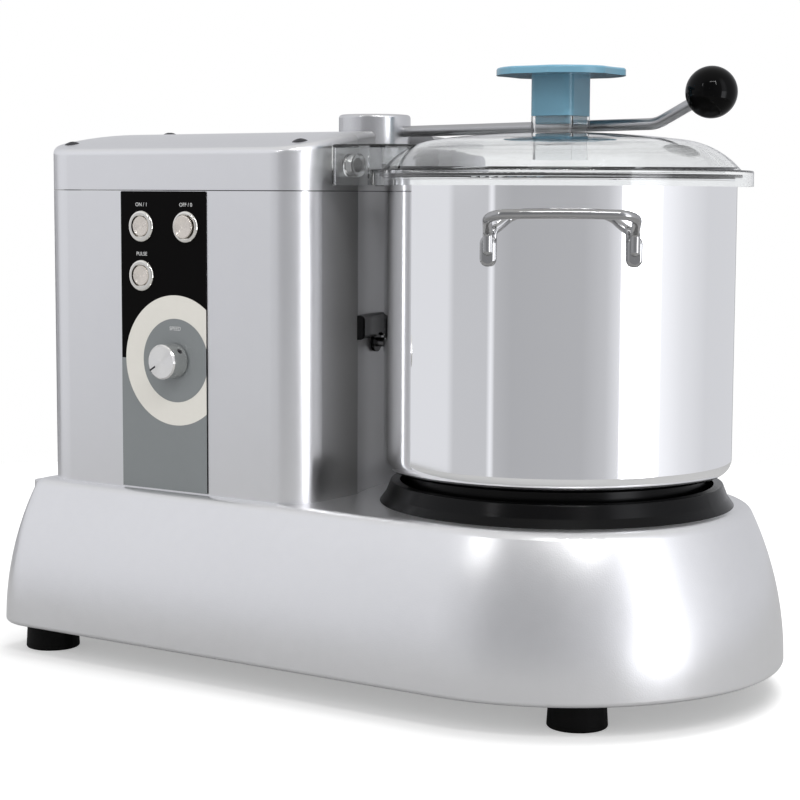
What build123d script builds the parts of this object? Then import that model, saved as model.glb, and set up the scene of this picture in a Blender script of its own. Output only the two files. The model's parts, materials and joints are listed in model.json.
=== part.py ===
"""Bench-top bowl cutter, 9 litre class: a cast base, a sheet-steel drive housing, a lift-out bowl with
sickle blades on a belt-driven spindle, and a clear lid held down by a swing lever.

Millimetres, +Z up. The origin is the centre of the base's footprint on the worktop. +X points to the
bowl end and -Y to the control panel.
"""
from build123d import *
from math import asin, cos, degrees, hypot, radians, sin, sqrt
import os

# ---------------------------------------------------------------- driving dimensions (mm)
# Base casting: a rounded end concentric with the bowl, sides that lean in along one arc
base_length = 555.0
base_width = 317.0
base_wall = 5.0
skirt_height = 107.0
skirt_curve_radius = 235.0
skirt_foot_radius = 3.0
shoulder_radius = 9.0
base_corner_radius = 37.0
deck_edge_inset = 36.0
bottom_plate_thickness = 2.0
bottom_plate_recess = 3.0
bottom_plate_clearance = 0.8

# Feet
foot_height = 22.0
foot_diameter = 40.0
foot_taper = 1.5
foot_end_inset = 31.0
foot_side_inset = 39.5
foot_bowl_radius = 116.5
foot_bowl_angle = 53.0
foot_boss_diameter = 24.0
foot_screw_diameter = 6.0
foot_screw_head_diameter = 12.0
foot_screw_head_height = 4.0
foot_recess_diameter = 16.0
foot_recess_depth = 14.0
foot_screw_grip = 20.0
screw_fit = 0.05

# Housing shell and vaulted top cover; their bowl side is hollowed concentric with the bowl
housing_left = 370.0
housing_right = 128.0
housing_width = 251.0
housing_height = 213.0
housing_sheet = 2.0
housing_left_corner_radius = 31.0
housing_right_corner_radius = 25.0
recess_radius = 140.5
cover_crown_rise = 43.4
cover_vault_radius = 568.0
cover_sheet = 2.5
cover_edge_radius = 5.0
cover_seam = 0.6
cover_lip_drop = 12.0
cover_lip_width = 20.0
cover_post_radius = 6.0
crossbar_width = 24.0
notch_radius = 34.0
notch_floor_rise = 4.0
cover_screw_x = (355.0, 145.0)
cover_screw_y = 103.0
cover_centre_screw_x = 348.0
cover_screw_diameter = 4.0
cover_screw_head_diameter = 11.0
cover_screw_head_height = 1.8
cover_screw_length = 14.0

# Control panel
panel_x = 247.8
panel_width = 78.0
panel_margin = 1.2
panel_top_margin = 0.4
panel_thickness = 0.8
bezel_diameter = 22.4
bezel_height = 2.0
barrel_diameter = 19.0
barrel_length = 24.0
barrel_nut_width = 22.0
barrel_nut_thickness = 3.5
button_diameter = 14.4
button_travel = 1.6
button_gap = 0.3
button_ring_gap = 0.8
button_dish_radius = 60.0
button_dish_depth = 0.4
flush_button_recess = 0.3
raised_button_height = 2.2
raised_button_diameter = 16.4
button_stem_diameter = 9.0
button_columns = (-19.6, 21.1)
top_button_drop = 25.1
button_row_spacing = 34.8
knob_height = 93.9
knob_offset = 11.1
knob_diameter = 24.4
knob_depth = 15.4
knob_chamfer = 1.0
knob_foot_diameter = 20.0
knob_foot_depth = 1.2
knob_gap = 0.6
knob_index_width = 1.3
knob_index_depth = 0.6
knob_set_screw_diameter = 4.0
knob_index_angle = 212.0
knob_set_screw_angle = 38.0
dial_shaft_diameter = 6.0
dial_body_diameter = 24.0
dial_bush_diameter = 9.0
dial_bush_length = 3.0
board_width = 66.0
board_height = 96.0
board_thickness = 1.6
board_standoff = 16.0
board_screw_diameter = 3.0
board_blocks = ((40.0, 16.0, 12.0), (24.0, 22.0, 18.0), (50.0, 14.0, 9.0))
running_fit = 0.05

# Black seat ring that carries the bowl
ring_outer_radius = 122.5
ring_waist_radius = 118.3
ring_waist_height = 5.6
ring_top_radius = 114.8
ring_top_height = 14.5
ring_edge_radius = 1.2
ring_channel_radius = 108.5
ring_floor_height = 4.5
bayonet_lip_depth = 5.0
bayonet_lip_thickness = 4.5
bayonet_sector = 30.0
bayonet_count = 3
bayonet_gap = 0.4
bayonet_start = 60.0
seat_screw_count = 4
seat_screw_circle = 150.0
seat_screw_diameter = 5.0

# Bowl
bowl_outer_radius = 120.2
bowl_wall = 1.4
bowl_bottom_height = 21.7
bowl_corner_radius = 10.0
bowl_rim_rise = 9.0
bowl_rim_bead = 2.4
bowl_foot_ring_width = 11.0
bowl_tube_radius = 18.5
bowl_tube_wall = 1.5
bowl_tube_height = 92.0
handle_azimuth = -60.0
handle_width = 99.0
handle_wire = 6.3
handle_bar_drop = 21.7
handle_reach = 31.0
handle_pad_drop = 51.0
handle_pad_width = 10.0
handle_pad_length = 20.0
handle_pad_thickness = 4.6
handle_pad_sink = 12.0
handle_corner_radius = 13.0
handle_root_radius = 5.0
handle_bow_radius = 300.0
handle_bow = 4.0
handle_pad_lift = 1.2

# Clear lid, its chimney and the pusher
lid_gap = 0.3
lid_wall = 3.0
lid_flange_radius = 131.0
lid_flange_rise = 6.0
lid_skirt_drop = 4.6
lid_crown_rise = 31.9
lid_crown_radius = 700.0
lid_shoulder_start = 85.0
lid_dome_radius = 123.0
lid_seal_thickness = 1.5
lid_seal_width = 6.0
chimney_width = 32.5
chimney_corner = 6.0
chimney_wall = 2.5
chimney_neck_step = 1.2
chimney_neck_rise = 34.4
chimney_rise = 42.4
chimney_foot_rise = 12.0
ear_corner_x = 126.0
ear_corner_y = 96.0
ear_rise = 23.0
ear_corner_radius = 6.0
ear_wall = 2.5
ear_front_run = 34.0
ear_back_y = 36.0
ear_inner_radius = 86.0
ear_inner_angles = (194.0, 226.0)
magnet_rise = 9.0
magnet_setback = 22.0
magnet_boss_radius = 8.0
lid_locating_radius = 116.0
lid_locating_depth = 11.0
magnet_diameter = 10.0
magnet_thickness = 6.0
pusher_clearance = 0.4
pusher_body_rise = 70.0
pusher_plate_thickness = 5.0
pusher_plate_radius = 44.0
pusher_plate_scallop = 90.0
pusher_plate_waist = 40.5
pusher_spigot_length = 5.4

# Swing lever: post, hub, bent arm and ball knob
lever_x = 163.0
lever_y = 13.0
post_radius = 9.0
post_bottom = 30.0
post_lip_clearance = 3.0
hub_radius = 26.3
hub_rise = 46.9
hub_height = 35.9
hub_chamfer = 2.5
hub_bore_depth = 22.0
arm_diameter = 8.0
arm_azimuth = 3.5
arm_slope = 0.85
arm_rise = 34.2
arm_socket_depth = 11.0
arm_bend_distance = 223.0
arm_bend_radius = 22.0
ball_radius = 17.4
ball_distance = 262.0
ball_rise = 58.0
ball_socket_depth = 14.0
lever_rise = 14.4
bracket_wall = 6.0
bracket_half_width = 30.0
bracket_depth = 32.0
bracket_low_arm = 44.0
bracket_high_arm_drop = 29.0
bracket_arm_thickness = 12.0
bracket_front_reach = 18.0
bushing_wall = 4.0
collar_height = 104.0
collar_thickness = 10.0
collar_radius = 17.0
collar_stop_radius = 12.0
collar_stop_thickness = 4.0
collar_stop_gap = 0.3
guide_rod_radius = 3.0
guide_rod_offset = 22.0
seal_gap = 0.3

# Bowl-present sensor in the housing's hollow side
sensor_azimuth = 188.9
sensor_height = 105.5
sensor_pin_radius = 3.4
sensor_tip_gap = 1.2
sensor_travel = 6.0
sensor_guide_radius = 5.5
sensor_guide_depth = 26.0
sensor_guide_flange = 2.0
sensor_hood_height = 17.0
sensor_hood_rise = 4.0
sensor_hood_sweep = 20.0
sensor_hood_depth = 5.0
sensor_hood_azimuth = 195.0

# Spindle, bearings and blades
spindle_radius = 10.0
spindle_top_radius = 9.0
bearing_radius = 21.0
bearing_width = 12.0
bearing_wall = 9.0
seal_width = 8.0
spindle_housing_top = 8.0
spindle_housing_bottom = -50.0
spindle_flange_radius = 55.0
spindle_flange_thickness = 6.0
spindle_bolt_circle = 90.0
spindle_bolt_count = 6
bolt_diameter = 6.0
bolt_head_diameter = 10.0
bolt_head_height = 5.0
spindle_shoulder_radius = 14.0
blade_hub_radius = 24.0
blade_hub_bottom = 26.0
blade_hub_top = 104.0
blade_tip_gap = 4.6
blade_thickness = 2.0
blade_heights = (32.0, 56.0)
blade_turns = (20.0, 110.0)
blade_root_width = 34.0
blade_flange_radius = 31.0
blade_hub_cap = 10.0
blade_bevel_width = 6.0
drive_flat_half = 7.0
cap_thread_radius = 5.0
blade_collar_height = 6.0
cap_nut_radius = 15.0
cap_nut_height = 18.0

# Belt drive and motor
motor_x = 270.0
motor_radius = 60.0
motor_bottom = 8.0
motor_height = 142.0
motor_flange_radius = 70.0
motor_bolt_circle = 126.0
motor_bolt_count = 4
motor_fin_count = 24
motor_fin_depth = 4.0
motor_fin_width = 3.0
motor_shaft_radius = 9.5
motor_shaft_hole_radius = 24.0
fan_radius = 50.0
fan_hub_radius = 16.0
fan_blade_count = 7
fan_height = 16.0
fan_gap = 4.0
pulley_bottom = -86.0
pulley_width = 24.0
pulley_flange = 2.5
driven_pulley_radius = 50.0
motor_pulley_radius = 25.0
pulley_groove_count = 5
pulley_groove_depth = 2.0
belt_thickness = 4.0
belt_gap = 0.35
retaining_nut_height = 6.0
retaining_nut_radius = 15.0

# Cable gland in the back wall (no cord is modelled)
gland_x = 300.0
gland_height = 40.0
gland_radius = 12.0
gland_bore_radius = 4.5
gland_length = 16.0
gland_nut_width = 26.0
gland_nut_thickness = 6.0

# ---------------------------------------------------------------- derived places
base_top = foot_height + skirt_height
bowl_x = base_length / 2 - base_width / 2
end_radius = base_width / 2
arm_direction = (cos(radians(arm_azimuth)), sin(radians(arm_azimuth)))
lever_place = (bowl_x - lever_x, lever_y)
motor_place = (bowl_x - motor_x, 0)
panel_place_x = bowl_x - panel_x
lip_bottom = housing_height - cover_lip_drop
lip_top = lip_bottom + housing_sheet
housing_front = -housing_width / 2
panel_front = housing_front - panel_thickness
bowl_floor = bowl_bottom_height + bowl_wall
bore_fit_radius = post_radius + running_fit
foot_places = (
    (-base_length / 2 + foot_end_inset, -base_width / 2 + foot_side_inset),
    (-base_length / 2 + foot_end_inset, base_width / 2 - foot_side_inset),
    (bowl_x + foot_bowl_radius * cos(radians(foot_bowl_angle)),
     -foot_bowl_radius * sin(radians(foot_bowl_angle))),
    (bowl_x + foot_bowl_radius * cos(radians(foot_bowl_angle)),
     foot_bowl_radius * sin(radians(foot_bowl_angle))),
)
knob_place_x = panel_place_x + knob_offset
top_button_height = housing_height - top_button_drop
button_places = {
    "on": (panel_place_x + button_columns[0], top_button_height),
    "off": (panel_place_x + button_columns[1], top_button_height),
    "pulse": (panel_place_x + button_columns[0], top_button_height - button_row_spacing),
}
cover_crown_height = housing_height + cover_crown_rise
notch_floor_height = housing_height + notch_floor_rise
bracket_arm_heights = (bracket_low_arm, housing_height - bracket_high_arm_drop)

# Everything that rests on the bowl or reaches over it goes by its rim
bowl_rim_height = housing_height + bowl_rim_rise
handle_bar_height = bowl_rim_height - handle_bar_drop
handle_pad_height = bowl_rim_height - handle_pad_drop
lid_flange_top = bowl_rim_height + lid_flange_rise
lid_skirt_bottom = bowl_rim_height - lid_skirt_drop
lid_crown_height = bowl_rim_height + lid_crown_rise
chimney_neck_height = bowl_rim_height + chimney_neck_rise
chimney_top = bowl_rim_height + chimney_rise
chimney_bottom = bowl_rim_height + chimney_foot_rise
ear_height = bowl_rim_height + ear_rise
magnet_height = bowl_rim_height + magnet_rise
pusher_body_top = bowl_rim_height + pusher_body_rise
pusher_plate_top = pusher_body_top + pusher_plate_thickness
hub_top = bowl_rim_height + hub_rise
hub_bottom = hub_top - hub_height
hub_post_top = hub_bottom + hub_bore_depth
arm_height = bowl_rim_height + arm_rise
ball_height = bowl_rim_height + ball_rise


# ---------------------------------------------------------------- helpers
def at_bowl(shape, height=0.0):
    """Places a shape drawn round its own Z axis on the bowl's axis, measured up from the deck."""
    return Pos(bowl_x, 0, base_top + height) * shape


def disc(radius, bottom, top):
    """A solid cylinder round Z between two heights."""
    return Pos(0, 0, bottom) * extrude(Circle(radius), amount=top - bottom)


def tube(outer, inner, bottom, top):
    """A round tube about Z between two heights."""
    return disc(outer, bottom, top) - disc(inner, bottom - 1, top + 1)


def revolved(points):
    """Turns a closed outline of (radius, height) points once round Z."""
    outline = Polyline(*[(r, z) for r, z in points], close=True)
    return revolve(Plane.XZ * make_face(outline), Axis.Z)


def sector(outer, inner, bottom, top, middle, sweep):
    """A piece of a tube, as wide as the sweep angle, centred on the middle angle."""
    reach = outer * 2
    half = radians(sweep / 2)
    wedge = Polyline((0, 0), (reach * cos(half), -reach * sin(half)),
                     (reach * cos(half), reach * sin(half)), close=True)
    cutter = Pos(0, 0, bottom) * extrude(make_face(wedge), amount=top - bottom)
    return tube(outer, inner, bottom, top) & (Rot(0, 0, middle) * cutter)


def facing_front(shape, x, z, y=housing_front):
    """Turns a shape drawn along +Z so that +Z points out of the front wall."""
    return Pos(x, y, base_top + z) * Rot(90, 0, 0) * shape


def hexagon(across_flats):
    """A regular hexagon by its width across the flats."""
    return RegularPolygon(across_flats / sqrt(3), 6)


def button_head_screw(shank_radius, shank_length, head_radius, head_height, socket_width):
    """A button-head screw standing on Z = 0 with its shank below and a hexagon socket on top."""
    dome_radius = (head_radius ** 2 + head_height ** 2) / (2 * head_height)
    ball = Pos(0, 0, head_height - dome_radius) * Sphere(dome_radius)
    head = disc(head_radius, 0, head_height) & ball
    socket = Pos(0, 0, head_height / 2) * extrude(hexagon(socket_width), amount=head_height)
    return (head + disc(shank_radius, -shank_length, 0)) - socket


# ---------------------------------------------------------------- base casting
def skirt_section():
    """The wall of the casting: x is measured inwards-negative from the widest outline, y is height."""
    def lean(radius, height):
        return -skirt_curve_radius + sqrt(radius ** 2 - height ** 2)

    inner_radius = skirt_curve_radius - base_wall
    inner_height = skirt_height - base_wall
    foot = foot_height
    outer = ThreePointArc((0, foot), (lean(skirt_curve_radius, skirt_height / 2), foot + skirt_height / 2),
                          (lean(skirt_curve_radius, skirt_height), foot + skirt_height))
    inner = ThreePointArc((lean(inner_radius, inner_height), foot + inner_height),
                          (lean(inner_radius, inner_height / 2), foot + inner_height / 2),
                          (lean(inner_radius, 0), foot))
    edge = -deck_edge_inset
    sides = [outer,
             Line(outer @ 1, (edge, foot + skirt_height)),
             Line((edge, foot + skirt_height), (edge, foot + inner_height)),
             Line((edge, foot + inner_height), inner @ 0),
             inner,
             Line(inner @ 1, outer @ 0)]
    face = make_face(sides)
    top = face.vertices().sort_by(lambda v: (v.center() - Vector(*(outer @ 1))).length)[0]
    face = fillet(top, shoulder_radius)
    foot_corner = face.vertices().sort_by(lambda v: (v.center() - Vector(*(outer @ 0))).length)[0]
    return fillet(foot_corner, skirt_foot_radius)


def base_outline(inset):
    """Plan of the base at an inset from its widest outline."""
    radius = end_radius - inset
    left = -base_length / 2 + inset
    corner = max(base_corner_radius - inset, 0.5)
    box = Pos((left + bowl_x) / 2, 0) * Rectangle(bowl_x - left, 2 * radius)
    corners = box.vertices().filter_by(lambda v: v.X < left + 1)
    return fillet(corners, corner) + Pos(bowl_x, 0) * Circle(radius)


def base_casting():
    section = skirt_section()
    corner_x = -base_length / 2 + base_corner_radius
    corner_y = base_width / 2 - base_corner_radius

    def wall(radius, angle):
        return Rot(0, 0, angle) * (Plane.XZ * (Pos(radius, 0) * section))

    body = Pos(bowl_x, 0) * revolve(wall(end_radius, -90), Axis.Z, 180)
    for side in (-1, 1):
        run = extrude(wall(end_radius, 90 * side), amount=bowl_x - corner_x, dir=(-1, 0, 0))
        body += Pos(bowl_x, 0) * run
        turn = revolve(wall(base_corner_radius, 180 if side < 0 else 90), Axis.Z, 90)
        body += Pos(corner_x, side * corner_y) * turn
    body += Pos(corner_x, -corner_y) * extrude(wall(base_corner_radius, 180), amount=2 * corner_y, dir=(0, 1, 0))
    deck = Pos(0, 0, base_top - base_wall) * extrude(base_outline(deck_edge_inset - 0.5), amount=base_wall)
    body += deck
    boss_bottom = foot_height + bottom_plate_recess + bottom_plate_thickness
    for x, y in foot_places:
        body += Pos(x, y) * disc(foot_boss_diameter / 2, boss_bottom, base_top - base_wall / 2)
        body -= Pos(x, y) * disc(foot_screw_diameter / 2 + screw_fit, boss_bottom - 1, boss_bottom + 24)
    body -= at_bowl(disc(bearing_radius + bearing_wall + 0.2, -base_wall - 1, 1))
    body -= Pos(*motor_place, base_top) * disc(motor_shaft_hole_radius, -base_wall - 1, 1)
    return body


def base_bottom_plate():
    plate = extrude(base_outline(base_wall + bottom_plate_clearance), amount=bottom_plate_thickness)
    plate = Pos(0, 0, foot_height + bottom_plate_recess) * plate
    for x, y in foot_places:
        plate -= Pos(x, y) * disc(foot_screw_diameter / 2 + screw_fit, 0, base_top / 2)
    return plate


def foot():
    """A rubber foot on Z = 0, screwed up into the casting from inside its own recess."""
    top = foot_height + bottom_plate_recess
    radius = foot_diameter / 2
    body = revolved([(0, 0), (radius, 0), (radius - foot_taper, top), (0, top)])
    body = fillet(body.edges().filter_by(GeomType.CIRCLE).sort_by(Axis.Z)[0], 1.5)
    body -= disc(foot_recess_diameter / 2, -1, foot_recess_depth)
    return body - disc(foot_screw_diameter / 2 + screw_fit, 0, top + 1)


def foot_screws():
    top = foot_height + bottom_plate_recess + bottom_plate_thickness + foot_screw_grip
    head_top = foot_recess_depth
    socket = extrude(hexagon(foot_screw_head_diameter * 0.4), amount=foot_screw_head_height / 2)
    screw = disc(foot_screw_head_diameter / 2, head_top - foot_screw_head_height, head_top)
    screw += disc(foot_screw_diameter / 2, head_top, top)
    screw -= Pos(0, 0, head_top - foot_screw_head_height) * socket
    return Compound(children=[Pos(x, y) * screw for x, y in foot_places])


# ---------------------------------------------------------------- housing
def housing_outline(inset=0.0):
    """Plan of the drive housing: a rounded box hollowed on the bowl side, at an inset."""
    left = bowl_x - housing_left + inset
    right = bowl_x - housing_right - inset
    half = housing_width / 2 - inset
    box = Pos((left + right) / 2, 0) * Rectangle(right - left, 2 * half)
    left_corners = box.vertices().filter_by(lambda v: v.X < left + 1)
    box = fillet(left_corners, housing_left_corner_radius - inset)
    right_corners = box.vertices().filter_by(lambda v: v.X > right - 1)
    box = fillet(right_corners, housing_right_corner_radius - inset)
    return box - Pos(bowl_x, 0) * Circle(recess_radius + inset)


def housing_prism(inset, bottom, top):
    """The housing's plan pulled up between two heights over the deck."""
    return Pos(0, 0, base_top + bottom) * extrude(housing_outline(inset), amount=top - bottom)


def sensor_axis(shape):
    """Places a shape drawn along +Z so that +Z points from the bowl's axis out through the sensor."""
    return at_bowl(Rot(0, 0, sensor_azimuth) * Rot(0, 90, 0) * shape, sensor_height)


def housing_shell():
    shell = housing_prism(0, 0, housing_height) - housing_prism(housing_sheet, -1, housing_height + 1)
    lip = housing_prism(housing_sheet / 2, lip_bottom, lip_bottom + housing_sheet)
    shell += lip - housing_prism(housing_sheet + cover_lip_width, 0, housing_height + 1)
    shell -= Pos(*lever_place, base_top) * disc(post_radius + post_lip_clearance, 1, housing_height + 1)
    for x, z in button_places.values():
        shell -= facing_front(disc(barrel_diameter / 2 + screw_fit, -housing_sheet - 1, 1), x, z)
    shell -= facing_front(disc(dial_shaft_diameter / 2 + 1.5, -housing_sheet - 1, 1), knob_place_x, knob_height)
    reach = recess_radius
    shell -= sensor_axis(disc(sensor_guide_radius + screw_fit, reach - 4, reach + housing_sheet + 3))
    gland_cut = disc(gland_radius * 0.75 + screw_fit, -1, housing_sheet + 2)
    shell -= Pos(bowl_x - gland_x, housing_width / 2, base_top + gland_height) * Rot(90, 0, 0) * gland_cut
    return shell


def vault(lowered=0.0):
    """The round barrel whose crown runs along the housing."""
    radius = cover_vault_radius - lowered
    length = housing_left
    barrel = Rot(0, 90, 0) * Cylinder(radius, length * 2)
    return Pos(bowl_x - housing_left / 2, 0, base_top + cover_crown_height - cover_vault_radius) * barrel


def notch_plan(grown=0.0):
    """The pocket round the lever's hub, open towards the bowl."""
    radius = notch_radius + grown
    mouth = lever_x - housing_right + 20
    return Circle(radius) + Pos(mouth / 2, 0) * Rectangle(mouth, 2 * radius)


def vault_height(y, lowered=0.0):
    """Height over the deck of the cover's outer face, or one lowered from it, beside the crown line."""
    return cover_crown_height - cover_vault_radius + sqrt((cover_vault_radius - lowered) ** 2 - y ** 2)


def cover_screw_poses():
    """Where each cover screw's head sits on the vault, square to it."""
    places = [(bowl_x - x, side * cover_screw_y) for x in cover_screw_x for side in (-1, 1)]
    places.append((bowl_x - cover_centre_screw_x, 0))
    return [Pos(x, y, base_top + vault_height(y)) * Rot(-degrees(asin(y / cover_vault_radius)), 0, 0)
            for x, y in places]


def top_cover():
    seam = housing_height + cover_seam
    outer = housing_prism(0, seam, cover_crown_height + 1) & vault()
    rim = outer.edges().filter_by(lambda e: e.center().Z > base_top + seam + 10)
    rim = rim.filter_by(lambda e: abs(e.tangent_at(0.5).Z) < 0.5)
    outer = fillet(rim, cover_edge_radius)
    inner = housing_prism(cover_sheet, seam - 1, cover_crown_height + 1) & vault(cover_sheet)
    cover = outer - inner
    place = Pos(*lever_place, base_top)
    top = cover_crown_height + 5
    wall = place * Pos(0, 0, seam) * extrude(notch_plan(cover_sheet), amount=top - seam)
    pocket = place * Pos(0, 0, notch_floor_height) * extrude(notch_plan(), amount=top - notch_floor_height)
    cover = cover + (wall & outer) - pocket
    cover -= place * disc(post_radius + bushing_wall + screw_fit, 0, cover_crown_height)
    for pose in cover_screw_poses():
        cover -= pose * disc(cover_screw_diameter / 2 + screw_fit, -cover_edge_radius * 2, 5)
    return cover


def cover_screws():
    screw = button_head_screw(cover_screw_diameter / 2, cover_screw_length, cover_screw_head_diameter / 2,
                              cover_screw_head_height, cover_screw_head_diameter * 0.3)
    return Compound(children=[pose * screw for pose in cover_screw_poses()])


def cover_posts():
    """Posts on the shell's inner lip that take the cover screws, one of them on a strap over the motor."""
    posts = []
    below = base_top + lip_top
    strap_top = lip_top + housing_sheet
    strap_length = housing_width - cover_lip_width * 1.25
    for pose in cover_screw_poses():
        x, y = pose.position.X, pose.position.Y
        column = Pos(x, y, below) * extrude(Circle(cover_post_radius), amount=cover_crown_height)
        column = column & vault(cover_sheet)
        if abs(y) < 1:
            strap = Pos(x, 0, below) * extrude(Rectangle(crossbar_width, strap_length),
                                               amount=strap_top - lip_top)
            column += strap
        column -= pose * disc(cover_screw_diameter / 2 + screw_fit, -cover_screw_length - 1, 5)
        posts.append(column)
    return Compound(children=posts)


# ---------------------------------------------------------------- control panel
def panel_overlay():
    height = housing_height - panel_margin - panel_top_margin
    plate = Pos(0, height / 2 + panel_margin) * RectangleRounded(panel_width, height, 1.0)
    sheet = facing_front(extrude(plate, amount=panel_thickness), panel_place_x, 0)
    for x, z in button_places.values():
        sheet -= facing_front(disc(barrel_diameter / 2 + screw_fit, -1, panel_thickness + 1), x, z)
    hole = disc(dial_shaft_diameter / 2 + 1.5, -1, panel_thickness + 1)
    return sheet - facing_front(hole, knob_place_x, knob_height)


def switch_body(cap_diameter, cap_recess):
    """A threaded metal push-button body seen from its bezel, with a pocket for the button."""
    bezel_radius = bezel_diameter / 2
    bezel = disc(bezel_radius, 0, bezel_height)
    bezel = fillet(bezel.edges().filter_by(GeomType.CIRCLE).sort_by(Axis.Z)[-1], bezel_height * 0.85)
    barrel = disc(barrel_diameter / 2, -barrel_length, 0)
    body = bezel + barrel
    body -= disc(cap_diameter / 2 + button_ring_gap, bezel_height - cap_recess, bezel_height + 1)
    return body - disc(button_stem_diameter / 2 + button_gap, -barrel_length / 2, bezel_height + 1)


def button_pocket(name):
    """Cap diameter, pocket depth and height of the cap's face over the bezel's back for one button."""
    raised = name == "off"
    cap = raised_button_diameter if raised else button_diameter
    depth = button_travel + button_gap + 1.2
    face = bezel_height + raised_button_height if raised else bezel_height - flush_button_recess
    return cap, depth, face


def button_cap(name):
    cap, depth, face = button_pocket(name)
    bottom = bezel_height - depth + button_travel + button_gap
    body = disc(cap / 2, bottom, face)
    rim = body.edges().filter_by(GeomType.CIRCLE).sort_by(Axis.Z)[-1]
    body = fillet(rim, 0.7)
    body -= Pos(0, 0, face + button_dish_radius - button_dish_depth) * Sphere(button_dish_radius)
    return body + disc(button_stem_diameter / 2, -barrel_length / 2 + button_travel + button_gap, bottom)


def switch_nuts():
    nut = extrude(hexagon(barrel_nut_width), amount=barrel_nut_thickness)
    nut -= disc(barrel_diameter / 2 + screw_fit, -1, barrel_nut_thickness + 1)
    back = -panel_thickness - housing_sheet - barrel_nut_thickness
    return Compound(children=[facing_front(Pos(0, 0, back) * nut, x, z, panel_front)
                              for x, z in button_places.values()])


def knob_bottom():
    return panel_thickness + knob_gap


def speed_knob():
    """A turned knob with a thumb groove at its foot, an index groove on its face and a set screw hole."""
    bottom = knob_bottom()
    face = bottom + knob_depth
    knob = disc(knob_diameter / 2, bottom + knob_foot_depth, face)
    knob = chamfer(knob.edges().filter_by(GeomType.CIRCLE).sort_by(Axis.Z)[-1], knob_chamfer)
    knob += disc(knob_foot_diameter / 2, bottom, face - 1)
    groove = Pos(knob_diameter * 0.39, 0, face) * Box(knob_diameter * 0.24, knob_index_width, 2 * knob_index_depth)
    knob -= Rot(0, 0, knob_index_angle) * groove
    side_hole = Pos(knob_diameter / 2, 0, bottom + knob_depth * 0.42) * Rot(0, 90, 0)
    side_hole = side_hole * Cylinder(knob_set_screw_diameter / 2, knob_diameter * 0.5)
    knob -= Rot(0, 0, knob_set_screw_angle) * side_hole
    knob -= disc(dial_shaft_diameter / 2, bottom - 1, bottom + knob_depth * 0.7)
    return facing_front(knob, knob_place_x, knob_height)


def dial_shaft():
    top = knob_bottom() + knob_depth * 0.7
    return facing_front(disc(dial_shaft_diameter / 2, -board_standoff / 2, top), knob_place_x, knob_height)


def dial_body():
    """The potentiometer behind the panel, clamped between the wall and the board."""
    back = -board_standoff
    body = disc(dial_body_diameter / 2, back, -housing_sheet - dial_bush_length)
    body += disc(dial_bush_diameter / 2, -housing_sheet - dial_bush_length - 1, -housing_sheet)
    body -= disc(dial_shaft_diameter / 2 + running_fit, back / 2 - 1, 1)
    return facing_front(body, knob_place_x, knob_height)


def control_board():
    board = extrude(Rectangle(board_width, board_height), amount=board_thickness)
    for x in (-1, 1):
        for y in (-1, 1):
            hole = disc(board_screw_diameter / 2 + screw_fit, -1, board_thickness + 1)
            board -= Pos(x * (board_width / 2 - 5), y * (board_height / 2 - 5)) * hole
    parts = [board]
    for row, (width, height, deep) in enumerate(board_blocks):
        block = extrude(Rectangle(width, height), amount=deep)
        parts.append(Pos(0, board_height * (0.28 - 0.28 * row), -deep) * block)
    body = parts[0]
    for block in parts[1:]:
        body += block
    return facing_front(Pos(0, 0, -board_standoff - board_thickness) * body, knob_place_x, knob_height)


def board_standoffs():
    spacer = tube(board_screw_diameter, board_screw_diameter / 2 + screw_fit, -board_standoff, -housing_sheet)
    places = [(x * (board_width / 2 - 5), y * (board_height / 2 - 5)) for x in (-1, 1) for y in (-1, 1)]
    return Compound(children=[facing_front(spacer, knob_place_x + x, knob_height + y) for x, y in places])


# ---------------------------------------------------------------- seat ring and bowl
def bayonet_sectors(outer, inner, bottom, top, start):
    step = 360 / bayonet_count
    return [sector(outer, inner, bottom, top, start + step * i, bayonet_sector) for i in range(bayonet_count)]


def bowl_seat_ring():
    """The black ring on the deck: a leaning outside, a channel for the bowl's foot and bayonet lips."""
    bore = bearing_radius + bearing_wall + 1.0
    ring = revolved([(bore, 0), (ring_outer_radius, 0), (ring_waist_radius, ring_waist_height),
                     (ring_top_radius, ring_top_height), (ring_channel_radius, ring_top_height),
                     (ring_channel_radius, ring_floor_height), (bore, ring_floor_height)])
    rims = ring.edges().filter_by(GeomType.CIRCLE).filter_by(lambda e: e.center().Z > ring_top_height - 0.1)
    ring = fillet(rims.sort_by(SortBy.RADIUS)[-1], ring_edge_radius)
    lip_bottom_height = ring_top_height - bayonet_lip_thickness
    for lip in bayonet_sectors(ring_channel_radius + 1, ring_channel_radius - bayonet_lip_depth,
                               lip_bottom_height, ring_top_height - 0.5, bayonet_start):
        ring += lip
    return at_bowl(ring)


def bowl_foot_ring():
    """The black bayonet foot under the bowl; its lugs stand under the seat ring's lips when locked."""
    outer = ring_channel_radius - bayonet_lip_depth - bayonet_gap
    bottom = ring_floor_height + lid_gap
    ring = tube(outer, outer - bowl_foot_ring_width, bottom, bowl_bottom_height)
    lug_top = ring_top_height - bayonet_lip_thickness - lid_gap
    for lug in bayonet_sectors(ring_channel_radius - bayonet_gap, outer - 1, bottom, lug_top, bayonet_start):
        ring += lug
    return at_bowl(ring)


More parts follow.
